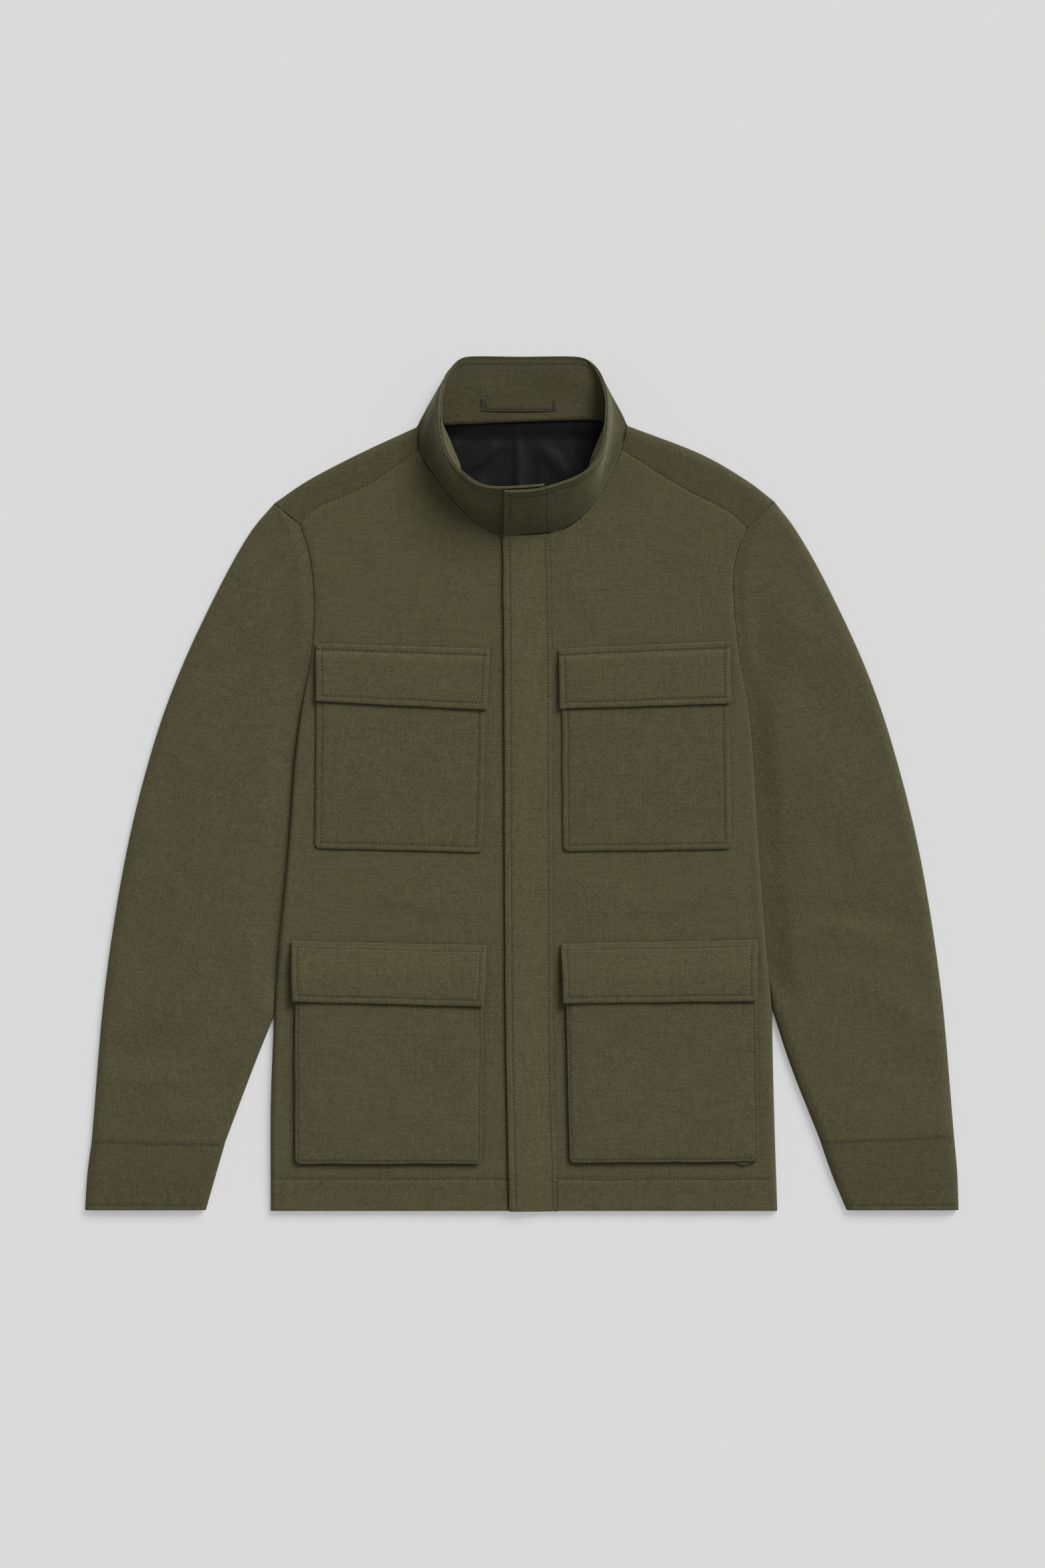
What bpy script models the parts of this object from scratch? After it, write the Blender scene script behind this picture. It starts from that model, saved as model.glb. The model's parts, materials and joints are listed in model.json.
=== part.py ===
"""A field jacket laid flat on its back, as separate sewn pieces of cloth.

Sizes below are in millimetres and MM turns them into metres.  +Y is towards the collar, +Z is up, the
wearer's right side is at -X, and the underside of the back lies on z = 0.
"""

import math

import bmesh
import bpy
from mathutils import Vector

MM = 0.001

# Cloth and gaps
WALL = 2.6
FLAP_WALL = 2.2
PATCH_WALL = 1.8
GUSSET_WALL = 1.0
LINING_WALL = 1.2
PLACKET_WALL = 3.0
SEAM_GAP = 0.4
LAY_GAP = 0.4

# How high the laid cloth stands, and how its folded edges turn over
TOP = 9.0
FOLD_MID = 3.6
FOLD_REACH = 10.0
FOLD_UNDER = 5.0
SIDE_FOOT = 3.9
SIDE_SKIRT = 1.0
ARMHOLE_DIP = 1.0
ARMHOLE_FLUSH_Y = 110.0
UNDERARM_Y = 20.0
PARTING_Y = -210.0

# Hem and cuffs, where the upper layer sinks onto the lower one
HEM_Y = -384.0
HEM_SINK_Y = -345.0
HEM_SINK = 2.6
CUFF_SINK = 1.4

# Plan outlines, one row a landmark: x and y on the wearer's right, then x and y on the wearer's left
SHOULDER_LINE = ((-223, 252, 227, 254), (-192, 273, 202, 273), (-146, 297, 160, 297), (-94, 321, 95, 322))
SHOULDER_SEAM = ((-200, 234, 203, 230), (-182, 249, 183, 246), (-137, 269, 141, 268), (-94, 299, 90, 300))
ARMHOLE = (
    (-200, 234, 203, 230),
    (-191, 205, 193, 205),
    (-187, 168, 190, 176),
    (-189, 117, 195, 117),
    (-198, 65, 204, 65),
    (-204, 20, 208, 20),
)
BODY_SIDE = ((-204, 20, 208, 20), (-210, -60, 213, -60), (-218, -140, 219, -140), (-223, -210, 225, -203))
HEM_SIDE = ((-223, -210, 225, -203), (-226, -290, 227, -290), (-226, -384, 230, -384))
SLEEVE_OUTER = (
    (-224.4, 251, 228.4, 253),
    (-245, 225, 248, 226),
    (-272, 177, 275, 178),
    (-306, 105, 309, 105),
    (-332, 33, 334, 33),
    (-356, -63, 358, -63),
    (-375, -183, 377, -183),
    (-387, -321, 389, -317),
)
SLEEVE_INNER = ((-223, -210, 225, -203), (-241, -255, 242, -255), (-267, -324, 268.5, -322))
CUFF_OUTER = ((-387, -321, 389, -317), (-391, -352, 392, -352), (-393, -383.4, 393, -383.4))
CUFF_INNER = ((-267, -324, 268.5, -322), (-275, -352, 279, -352), (-284, -383.4, 292, -383.4))
NECK_FRONT = ((-34, 228, 38, 229), (-61, 249, 62, 251), (-84, 283, 81, 284), (-94, 299, 90, 300))
NECK_SHOULDER = ((-94, 299, 90, 300), (-94, 310, 92.5, 311), (-94, 321, 95, 322))
NECK_BACK = ((-94, 321), (-67, 323.5), (0, 326.5), (67, 328), (95, 322))

# The fly strip: y, x of its free edge, x of its sewn edge
PLACKET = ((223, -17, 25), (120, -16, 27), (-117, -15, 28), (-240, -14, 28.5), (-384.5, -11, 32.5))
UNDERLAP_X = 17.0
PLACKET_RISE = 3.4

# Top edge of the collar from the front centre to the nape: x, y, z
COLLAR_TOP_LEFT = ((25, 264.5, 48), (51, 274, 46), (66, 287, 44.5), (73, 303, 43), (75.5, 323, 40),
                   (75.5, 346, 30), (71, 365, 16))
COLLAR_TOP_RIGHT = ((-16, 263.5, 46), (-38, 266.5, 46), (-60, 284, 44.5), (-70, 303, 43), (-73, 325, 40),
                    (-72, 347, 30), (-67.5, 366, 16))
COLLAR_TOP_NAPE_LEFT = ((71, 365, 16), (63, 378, 7), (50, 384.0, 1.8), (0, 384.0, 1.3))
COLLAR_TOP_NAPE_RIGHT = ((-67.5, 366, 16), (-60, 377, 7), (-50, 384.0, 1.8), (0, 384.0, 1.3))
COLLAR_FOOT = 7.7
COLLAR_STEPS = 4

# Where the collar's foot starts to come down onto the shoulder fold, and its foot at the nape
COLLAR_FALL = 0.8
COLLAR_FOLD_LIFT = 0.6
NAPE_GAP = 0.6
NAPE_TURN = (1.4, 0.9, 2.4)

# The collar's front ends.  Overlap: x at the foot, x and y at the top.  Underlap: x and y of both
OVERLAP = ((-16.5, -15.6, 262.0), (-4, -4, 262.2), (8, 8, 262.8), (18, 18, 263.6))
OVERLAP_FOOT_Y = 224.5
OVERLAP_TOP_Z = 48.6
OVERLAP_STEP = (-0.9, 0.45)
UNDERLAP = ((18, 226.0, 20, 266.4), (8, 225.6, 8, 265.4), (-4, 225.2, -4, 264.6))
UNDERLAP_TOP_Z = 45.2

# Pockets: the four corners of each flap and each pocket, from top left, as x and y
CHEST_FLAP = {"right": ((-185, 126), (-29, 121), (-185, 74), (-31, 66)),
              "left": ((33, 121), (187, 128), (34, 67), (188, 72))}
CHEST_POCKET = {"right": ((-184, 112), (-32, 107), (-186, -58), (-35, -62)),
                "left": ((35.5, 107), (186, 114), (37, -61), (188, -59))}
LOWER_FLAP = {"right": ((-207, -141), (-31, -145), (-206, -195.5), (-34, -200)),
              "left": ((35, -143.5), (212, -140), (37, -197), (211, -195))}
LOWER_POCKET = {"right": ((-203.5, -151), (-34.5, -155), (-203.5, -341), (-36, -341)),
                "left": ((39, -153.5), (210, -150), (43, -340), (213, -339))}
CHEST_STEP = 8.0
BELLOWS_TOP = 8.0
BELLOWS_START = 30.0
BELLOWS_LIFT = 3.8
BELLOWS_FOOT = 0.5
FLAP_STEP_START = 3.0
FLAP_STEP_REACH = 5.0
FLAP_CLEARANCE = 0.2
GUSSET_START = 36.0
GUSSET_INSET = 1.6
GUSSET_DEPTH = 9.0
GUSSET_TURN = 8.0
GUSSET_INNER_TURN = 1.2
GUSSET_FOLD = 0.3
CORNER_CUT = 0.3

# The loop inside the collar, and the lining in the neck
LOOP = (-36, 32, 334.5, 346.5)
LOOP_WALL = 1.2
LOOP_BOW = 1.4
LINING_HALF_LOW = 112.0
LINING_LOW_Y = 190.0
LINING_Z = 3.0
LINING_MARGIN = 0.07
LINING_DROP = 2.0
LINING_STEPS = (0.0, 0.06, 0.4, 1.0)
LOOP_LOW_BOW = 0.6
LOOP_SAG = 0.5
LOOP_LIFT = 0.4

OLIVE = (0.072, 0.068, 0.034)
LINING_BLACK = (0.018, 0.017, 0.018)
CLOTH_ROUGHNESS = 0.9
FLAT_ANGLE = 0.1

# Steps across the cloth, finer where it folds
SEAM_STEPS = (0.0, 0.02, 0.05, 0.11, 0.3, 0.55, 0.78, 1.0)
ARMHOLE_STEPS = (0.0, 0.11, 0.22, 0.33, 0.46, 0.6, 0.73, 0.86, 1.0)
SIDE_STEPS = (0.25, 0.5, 0.75, 1.0)
HEM_STEPS = (0.3, 0.55, 0.78, 0.89, 1.0)
UNDER_STEPS = (1.0, 0.985, 0.95, 0.7, 0.35, 0.06, 0.02)
OVER_STEPS = (0.0, 0.008, 0.03, 0.07, 0.3, 0.6, 0.93, 0.97, 0.992, 1.0)
FOLD_UNDER_STEPS = (FOLD_UNDER, 2.0, 0.6, 0.0)
FOLD_OVER_STEPS = (0.8, 3.0, 6.5, FOLD_REACH)
PLACKET_STEPS = (0.0, 0.03, 0.062, 0.25, 0.5, 0.75, 1.0)
PLACKET_SEWN_SHARE = 0.93
SLEEVE_INNER_STEPS = (0.35, 0.7, 1.0)
CUFF_STEPS = (0.0, 0.4, 0.8, 1.0)
CUFF_SINK_START = 0.3
CHEST_FLAP_STEPS = (0.0, 0.08, 0.23, 0.6, 1.0)
LOWER_FLAP_STEPS = (0.0, 0.06, 0.15, 0.3, 0.56, 0.75, 1.0)
CHEST_POCKET_STEPS = (0.0, 0.5, 1.0)
LOWER_POCKET_STEPS = (0.0, 0.04, 0.108, 0.25, 0.6, 1.0)
PATCH_COLUMNS = 4
NECK_STEPS = 5
NAPE_STEPS = 6
FRONT_NECK_SHARE = 0.45


def side_sign(side):
    return -1 if side == "right" else 1


def landmarks(table, side):
    """The x and y of one side of a table of landmarks."""
    first = 0 if side == "right" else 2
    return [(row[first], row[first + 1]) for row in table]


def blend(a, b, share):
    return a + (b - a) * share


def ease(share):
    share = min(max(share, 0.0), 1.0)
    return share * share * (3.0 - 2.0 * share)


def rounded(share):
    """Height of a quarter-round edge, from 0 at the edge to 1 where it meets the flat."""
    share = min(max(share, 0.0), 1.0)
    return math.sqrt(1.0 - (1.0 - share) ** 2)


class Curve:
    """A smooth line through points, read by the share of its length."""

    SPANS = 16

    def __init__(self, points):
        knots = [Vector(point) for point in points]
        knots = [2 * knots[0] - knots[1], *knots, 2 * knots[-1] - knots[-2]]
        self.points = [knots[1]]
        for before, start, end, after in zip(knots, knots[1:], knots[2:], knots[3:]):
            for step in range(1, self.SPANS + 1):
                t = step / self.SPANS
                point = 0.5 * (2 * start + (end - before) * t
                               + (2 * before - 5 * start + 4 * end - after) * t ** 2
                               + (3 * start - before - 3 * end + after) * t ** 3)
                self.points.append(point)
        self.reach = [0.0]
        for start, end in zip(self.points, self.points[1:]):
            self.reach.append(self.reach[-1] + (end - start).length)

    def at(self, share):
        goal = min(max(share, 0.0), 1.0) * self.reach[-1]
        for index in range(1, len(self.reach)):
            if self.reach[index] >= goal:
                span = self.reach[index] - self.reach[index - 1]
                local = (goal - self.reach[index - 1]) / span if span else 0.0
                return self.points[index - 1].lerp(self.points[index], local)
        return self.points[-1].copy()

    def samples(self, steps):
        return [self.at(step) for step in steps]


def even(count):
    return [index / count for index in range(count + 1)]


def coons(low, high, start, end):
    """A net of plan points filled in from its four edges, which share their corners."""
    shares_u = lengths(low, high)
    shares_v = lengths(start, end)
    net = []
    for j, v in enumerate(shares_v):
        row = []
        for i, u in enumerate(shares_u):
            across = low[i].lerp(high[i], v)
            along = start[j].lerp(end[j], u)
            corners = low[0].lerp(low[-1], u).lerp(high[0].lerp(high[-1], u), v)
            row.append(across + along - corners)
        net.append(row)
    return net


def lengths(first, second):
    """Mean share of the length reached at each point of two matching lines."""
    shares = []
    for line in (first, second):
        reach = [0.0]
        for start, end in zip(line, line[1:]):
            reach.append(reach[-1] + (end - start).length)
        shares.append([value / reach[-1] for value in reach])
    return [(a + b) / 2 for a, b in zip(*shares)]


# ---------------------------------------------------------------- heights


def hem_drop(y):
    return HEM_SINK * ease((HEM_SINK_Y - y) / (HEM_SINK_Y - HEM_Y))


def body_foot(y, top):
    """Height at which the front ends along its side: nearly flush at the armhole, low below it."""
    share = ease((ARMHOLE_FLUSH_Y - y) / (ARMHOLE_FLUSH_Y - PARTING_Y))
    return blend(top - ARMHOLE_DIP, SIDE_FOOT, share)


def front_height(y, distance):
    """Upper face of a front at a distance from its side edge."""
    top = TOP - hem_drop(y)
    foot = body_foot(y, top)
    return foot + (top - foot) * rounded(distance / FOLD_REACH)


def fold_over(distance):
    return FOLD_MID + (TOP - FOLD_MID) * rounded(distance / FOLD_REACH)


def fold_under(distance):
    return FOLD_MID * (1.0 - rounded(distance / FOLD_UNDER))


def placket_height(x, y, edge):
    """Upper face of the fly strip: raised over the underlap, level with the front where it is sewn."""
    rise = PLACKET_RISE * ease((edge - x) / (edge - UNDERLAP_X))
    return TOP - hem_drop(y) + rise


# ---------------------------------------------------------------- outlines


def body_edge(side):
    """Side edge of the body from the forward shoulder seam down to the hem."""
    edge = Curve(landmarks(ARMHOLE, side)).samples(ARMHOLE_STEPS)
    edge += Curve(landmarks(BODY_SIDE, side)).samples(SIDE_STEPS)
    edge += Curve(landmarks(HEM_SIDE, side)).samples(HEM_STEPS)
    return edge


def shoulder_lines(side):
    """The fold over the shoulder and the forward shoulder seam, both from the sleeve to the neck."""
    outline, seam = Curve(landmarks(SHOULDER_LINE, side)), Curve(landmarks(SHOULDER_SEAM, side))
    return outline.samples(SEAM_STEPS), seam.samples(SEAM_STEPS)


def placket_edges():
    free = Curve([(row[1], row[0]) for row in PLACKET])
    sewn = Curve([(row[2], row[0]) for row in PLACKET])
    return free, sewn


def front_centre(side):
    """Centre edge of a front from the neck to the hem, and its first neck point."""
    if side == "right":
        return [Vector((UNDERLAP_X, 223.5)), Vector((UNDERLAP_X, HEM_Y))]
    sewn = placket_edges()[1]
    return [sewn.at(share) + Vector((SEAM_GAP, 0)) for share in even(6)]


def neck_front(side):
    """Front neck edge from the centre to the forward shoulder seam."""
    start = front_centre(side)[0]
    extra = [tuple(start), (-14, 224)] if side == "right" else [tuple(start)]
    return Curve(extra + landmarks(NECK_FRONT, side)).samples(even(NECK_STEPS + (side == "right")))


def nape_edge():
    return Curve(NECK_BACK).samples(even(2 * NAPE_STEPS))


def neck_shoulder(side):
    return Curve(landmarks(NECK_SHOULDER, side)).samples((0.0, 0.5, 0.85, 1.0))


# ---------------------------------------------------------------- making pieces


def material(name, colour):
    made = bpy.data.materials.new(name)
    made.use_nodes = True
    shader = made.node_tree.nodes["Principled BSDF"]
    shader.inputs["Base Color"].default_value = (*colour, 1.0)
    shader.inputs["Roughness"].default_value = CLOTH_ROUGHNESS
    shader.inputs["Metallic"].default_value = 0.0
    return made


def net_mesh(name, nets):
    """A mesh from one or more nets of points, joined where their edges meet."""
    bm = bmesh.new()
    for net in nets:
        rows, columns = len(net) - 1, len(net[0]) - 1
        made = bmesh.ops.create_grid(bm, x_segments=columns, y_segments=rows, size=0.5)
        for vert in made["verts"]:
            row = net[round((vert.co.y + 0.5) * rows)]
            vert.co = row[round((vert.co.x + 0.5) * columns)] * MM
    bmesh.ops.remove_doubles(bm, verts=bm.verts, dist=0.00001)
    bmesh.ops.recalc_face_normals(bm, faces=bm.faces)
    mesh = bpy.data.meshes.new(name)
    bm.to_mesh(mesh)
    bm.free()
    return mesh


def cloth(name, nets, wall, collection, colour=OLIVE, centred=False, middle=(0, 0, -1), flats=True):
    """A piece of cloth: its outer face as nets of points, given a wall on the inner side.

    The outer face looks away from middle, a point in metres.  flats says whether its level stretches
    are left as single faces.
    """
    mesh = net_mesh(name, nets)
    middle = Vector(middle)
    if sum((polygon.center - middle).dot(polygon.normal) * polygon.area for polygon in mesh.polygons) < 0:
        mesh.flip_normals()
    piece = bpy.data.objects.new(name, mesh)
    collection.objects.link(piece)
    mesh.materials.append(material(name + "_cloth", colour))
    solid = piece.modifiers.new("Wall", "SOLIDIFY")
    solid.thickness = wall * MM
    solid.offset = 0.0 if centred else -1.0
    solid.use_even_offset = False
    if flats:
        level = piece.modifiers.new("Level stretches", "DECIMATE")
        level.decimate_type = "DISSOLVE"
        level.angle_limit = math.radians(FLAT_ANGLE)
    else:
        piece.modifiers.new("Triangles", "TRIANGULATE")
    mesh.shade_smooth()
    return piece


def middle_of(net):
    points = [point for row in net for point in row]
    middle = sum(points, Vector((0, 0, 0))) / len(points)
    return Vector((middle.x, middle.y, TOP / 2)) * MM


def with_height(net, height):
    """Plan points raised by a function of the row, the column and the point."""
    return [[Vector((p.x, p.y, height(j, i, p))) for i, p in enumerate(row)] for j, row in enumerate(net)]


# ---------------------------------------------------------------- the body


def make_back(collection):
    """The back, flat underneath, carried over the shoulder folds to the forward seams."""
    edges = {side: body_edge(side) for side in ("right", "left")}
    outline, seam = {}, {}
    for side in edges:
        outline[side], seam[side] = shoulder_lines(side)
    base = {side: [a.lerp(b, FOLD_UNDER / (b - a).length) for a, b in zip(outline[side], seam[side])]
            for side in edges}
    neck = nape_edge()[1:-1]
    head = base["right"] + neck + base["left"][::-1]
    hem_left, hem_right = edges["right"][-1], edges["left"][-1]
    shares = lengths(head, head)
    foot = [hem_left.lerp(hem_right, share) for share in shares]
    start = [*edges["right"][::-1], base["right"][0]]
    end = [*edges["left"][::-1], base["left"][0]]
    nets = [with_height(coons(foot, head, start, end), lambda j, i, p: 0.0)]
    for side in edges:
        net = []
        for distance in FOLD_UNDER_STEPS:
            pairs = zip(outline[side], seam[side])
            net.append([raised(a, b, distance, fold_under(distance)) for a, b in pairs])
        for distance in FOLD_OVER_STEPS:
            pairs = zip(outline[side], seam[side])
            net.append([raised(a, b, distance, fold_over(distance)) for a, b in pairs])
        net.append([Vector((point.x, point.y, TOP)) for point in seam[side]])
        nets.append(net)
    return cloth("back", nets, WALL, collection, middle=(0, 0, 1))


def raised(start, end, distance, height):
    point = start.lerp(end, distance / (end - start).length)
    return Vector((point.x, point.y, height))


def make_front(side, collection):
    """One front, filled in between its centre, hem, side and neck, its side edge turned down."""
    edge = body_edge(side)[::-1]
    neck = neck_front(side)
    seam = shoulder_lines(side)[1][::-1]
    head = neck + seam[1:]
    head = [*head[:len(neck)], *(point - Vector((0, SEAM_GAP)) for point in head[len(neck):])]
    centre = Curve(front_centre(side)[::-1])
    shares = lengths(edge, edge)
    start = centre.samples(shares)
    count = len(head) - 1
    inner = [index / (len(neck) - 1) * FRONT_NECK_SHARE for index in range(len(neck))]
    outer = [blend(FRONT_NECK_SHARE, 1.0, 1.0 - step) for step in SEAM_STEPS[::-1][1:]]
    foot = [start[0].lerp(edge[0], share) for share in inner + outer]
    edge[-1] = head[-1]
    net = coons(foot, head, start, edge)

    def height(j, i, point):
        return front_height(point.y, (net[j][count] - point).length)

    face = with_height(net, height)
    for row in face:
        row.append(row[-1] - Vector((0, 0, SIDE_SKIRT)))
    return cloth("front_" + side, [face], WALL, collection)


def make_placket(collection):
    free, sewn = placket_edges()
    net = []
    for share in PLACKET_STEPS:
        left, right = free.at(1.0 - share), sewn.at(1.0 - share)
        over = [Vector((x, left.y)) for x in (UNDERLAP_X / 2, UNDERLAP_X)]
        net.append([left, *over, left.lerp(right, PLACKET_SEWN_SHARE), right])
    raised_net = with_height(net, lambda j, i, p: placket_height(p.x, p.y, net[j][-1].x))
    return cloth("placket", [raised_net], PLACKET_WALL, collection)


def make_lining(collection):
    net = []
    neck = Curve(NECK_BACK)
    for down in LINING_STEPS:
        row = []
        for across in even(8):
            top = neck.at(blend(LINING_MARGIN, 1.0 - LINING_MARGIN, across))
            top.y -= LINING_DROP
            low = Vector((blend(-LINING_HALF_LOW, LINING_HALF_LOW, across), LINING_LOW_Y))
            row.append(top.lerp(low, down))
        net.append(row)
    faces = with_height(net, lambda j, i, p: LINING_Z + LINING_WALL)
    return cloth("lining_back", [faces], LINING_WALL, collection, LINING_BLACK)


# ---------------------------------------------------------------- the collar


def inward(points, distance, sign):
    """A plan line moved sideways by a distance."""
    moved = []
    for index, point in enumerate(points):
        before, after = points[max(index - 1, 0)], points[min(index + 1, len(points) - 1)]
        run = (after - before).normalized()
        moved.append(point + Vector((-run.y, run.x)) * distance * sign)
    return moved


def collar_front(side):
    """Foot and top points of the front part of the collar, from the centre to the side of the neck."""
    neck = neck_front(side) + neck_shoulder(side)[1:]
    sign = 1 if side == "left" else -1
    shift = WALL / 2 + SEAM_GAP
    feet = inward(neck, shift, sign)
    shares = lengths(neck, neck)
    heights = [blend(COLLAR_FOOT, FOLD_MID + COLLAR_FOLD_LIFT,
                     ease((share - COLLAR_FALL) / (1.0 - COLLAR_FALL))) for share in shares]
    low = [Vector((p.x, p.y, height)) for p, height in zip(feet, heights)]
    high = Curve(COLLAR_TOP_LEFT if side == "left" else COLLAR_TOP_RIGHT)
    skip = 1 if side == "right" else 0
    start = shares[1] if skip else 0.0
    tops = [high.at((share - start) / (1.0 - start)) for share in shares[skip:]]
    return low[skip:], tops


def collar_nape(side):
    """Foot and top points of the back part of the collar, from the side of the neck to the nape."""
    edge = nape_edge()
    half = edge[:NAPE_STEPS + 1] if side == "right" else edge[:NAPE_STEPS - 1:-1]
    feet = [Vector((p.x, p.y + NAPE_GAP, WALL / 2)) for p in half[1:]]
    high = Curve(COLLAR_TOP_NAPE_LEFT if side == "left" else COLLAR_TOP_NAPE_RIGHT)
    corner = half[0]
    in_x, up_y, height = NAPE_TURN
    turn = Vector((corner.x - side_sign(side) * in_x, corner.y + up_y, height))
    feet = [turn, *feet]
    tops = [high.at(share) for share in even(len(feet))[1:]]
    return feet, tops


def make_collar(collection):
    left_low, left_high = collar_front("left")
    right_low, right_high = collar_front("right")
    nape_left_low, nape_left_high = collar_nape("left")
    nape_right_low, nape_right_high = collar_nape("right")
    forward, part = OVERLAP_STEP
    overlap_low = [Vector((x, OVERLAP_FOOT_Y, COLLAR_FOOT + PLACKET_RISE)) for x, _, _ in OVERLAP]
    overlap_high = [Vector((x, y, OVERLAP_TOP_Z)) for _, x, y in OVERLAP]
    left_low[0] += Vector((0, forward, PLACKET_RISE)) * part
    under_low = [Vector((x, y, COLLAR_FOOT)) for x, y, _, _ in UNDERLAP]
    under_high = [Vector((x, y, UNDERLAP_TOP_Z)) for _, _, x, y in UNDERLAP]
    low = overlap_low + left_low + nape_left_low
    low += nape_right_low[-2::-1] + right_low[::-1] + under_low[::-1]
    high = overlap_high + left_high + nape_left_high
    high += nape_right_high[-2::-1] + right_high[::-1] + under_high[::-1]
    net = [[a.lerp(b, step) for a, b in zip(low, high)] for step in even(COLLAR_STEPS)]
    return cloth("collar", [net], WALL, collection, centred=True)


def make_loop(collection):
    left, right, low, high = LOOP
    base = WALL + SEAM_GAP + LOOP_WALL
    net = []
    for y in (low, high):
        row = []
        for share in even(6):
            bow = LOOP_BOW * math.sin(math.pi * share) * (LOOP_LOW_BOW if y == low else 1.0)
            row.append(Vector((blend(left, right, share), y - bow * LOOP_SAG, base + bow * LOOP_LIFT)))
        net.append(row)
    return cloth("hanger_loop", [net], LOOP_WALL, collection)


# ---------------------------------------------------------------- the sleeves


def sleeve_inner(side):
    """Inner edge of a sleeve: along the armhole and the body, then away to the cuff, and its joins."""
    tip = Vector(landmarks(SHOULDER_LINE, side)[0])
    seam = Vector(landmarks(SHOULDER_SEAM, side)[0])
    edge = [tip.lerp(seam, 0.5)] + Curve(landmarks(ARMHOLE, side)).samples(ARMHOLE_STEPS)
    underarm = len(edge) - 1
    edge += Curve(landmarks(BODY_SIDE, side)).samples(SIDE_STEPS)
    edge += Curve(landmarks(SLEEVE_INNER, side)).samples(SLEEVE_INNER_STEPS)
    shift = Vector((side_sign(side) * (SEAM_GAP + 0.1), 0))
    return [point + shift for point in edge], underarm


def sleeve_top_foot(y):
    share = ease((ARMHOLE_FLUSH_Y - y) / (ARMHOLE_FLUSH_Y - UNDERARM_Y))
    return blend(TOP - ARMHOLE_DIP, FOLD_MID + 1.0, share)


def tube_row(outer, inner, top, closed, foot):
    """One ring of a sleeve or cuff: under side from its inner edge, round the outer fold, over the top."""
    width = (inner - outer).length
    row = []
    for step in UNDER_STEPS:
        height = FOLD_MID * (1.0 - rounded(step * width / FOLD_UNDER))
        if closed:
            height = max(height, fold_under((1.0 - step) * width))
        point = outer.lerp(inner, step)
        row.append(Vector((point.x, point.y, height)))
    for step in OVER_STEPS:
        low = FOLD_MID if closed else foot
        inside = low + (top - low) * rounded((1.0 - step) * width / FOLD_REACH)
        height = FOLD_MID + (inside - FOLD_MID) * rounded(step * width / FOLD_REACH)
        point = outer.lerp(inner, step)
        row.append(Vector((point.x, point.y, height)))
    return row


def make_sleeve(side, collection):
    inner, underarm = sleeve_inner(side)
    shares = lengths(inner, inner)
    outer = Curve(landmarks(SLEEVE_OUTER, side))
    net = []
    for index, share in enumerate(shares):
        foot = sleeve_top_foot(inner[index].y)
        net.append(tube_row(outer.at(share), inner[index], TOP, index >= underarm, foot))
    return cloth("sleeve_" + side, [net], WALL, collection, middle=middle_of(net))


def make_cuff(side, collection):
    outer = Curve(landmarks(CUFF_OUTER, side))
    inner = Curve(landmarks(CUFF_INNER, side))
    net = []
    for share in CUFF_STEPS:
        gap = Vector((0, SEAM_GAP * (1.0 - share)))
        top = TOP - CUFF_SINK * ease((share - CUFF_SINK_START) / (1.0 - CUFF_SINK_START))
        net.append(tube_row(outer.at(share) - gap, inner.at(share) - gap, top, True, FOLD_MID))
    return cloth("cuff_" + side, [net], WALL, collection, middle=middle_of(net), flats=False)


# ---------------------------------------------------------------- the pockets


def patch_net(corners, columns, shares):
    """Plan net between four corners, its rows running down from the top edge."""
    top_left, top_right, low_left, low_right = (Vector(corner) for corner in corners)
    net = []
    for down in shares:
        left, right = top_left.lerp(low_left, down), top_right.lerp(low_right, down)
        net.append([left.lerp(right, across) for across in even(columns)])
    return net


def below(flap, point):
    """How far a point is below the top edge of a flap."""
    left, right = Vector(flap[0]), Vector(flap[1])
    share = (point.x - left.x) / (right.x - left.x)
    return left.lerp(right, share).y - point.y


def bellows(distance):
    """Height of the underside of a bellows pocket's face above the front."""
    share = (distance - BELLOWS_TOP) / (BELLOWS_START - BELLOWS_TOP)
    return blend(BELLOWS_FOOT, BELLOWS_LIFT, min(max(share, 0.0), 1.0))


def make_chest(side, collection):
    flap = CHEST_FLAP[side]
    base = TOP + LAY_GAP
    pocket = patch_net(CHEST_POCKET[side], PATCH_COLUMNS, CHEST_POCKET_STEPS)
    face = with_height(pocket, lambda j, i, p: base + PATCH_WALL)
    cloth("chest_pocket_" + side, [face], PATCH_WALL, collection)

    def flap_height(j, i, point):
        rise = min(max((below(flap, point) - CHEST_STEP / 2) / CHEST_STEP, 0), 1)
        return base + FLAP_WALL + (PATCH_WALL + LAY_GAP) * rise

    cover = patch_net(flap, PATCH_COLUMNS, CHEST_FLAP_STEPS)
    cloth("chest_flap_" + side, [with_height(cover, flap_height)], FLAP_WALL, collection)


def make_lower(side, collection):
    flap = LOWER_FLAP[side]
    corners = LOWER_POCKET[side]

    def face_height(j, i, point):
        return TOP + bellows(below(flap, point)) + PATCH_WALL

    face = patch_net(corners, PATCH_COLUMNS, LOWER_POCKET_STEPS)
    cloth("lower_pocket_" + side, [with_height(face, face_height)], PATCH_WALL, collection)

    def flap_height(j, i, point):
        down = below(flap, point)
        rise = ease((down - FLAP_STEP_START) / FLAP_STEP_REACH)
        lift = FLAP_CLEARANCE + (bellows(down) + PATCH_WALL) * rise
        return TOP + LAY_GAP + FLAP_WALL + lift

    cover = patch_net(flap, PATCH_COLUMNS, LOWER_FLAP_STEPS)
    cloth("lower_flap_" + side, [with_height(cover, flap_height)], FLAP_WALL, collection)
    make_gusset(side, corners, collection)


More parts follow.
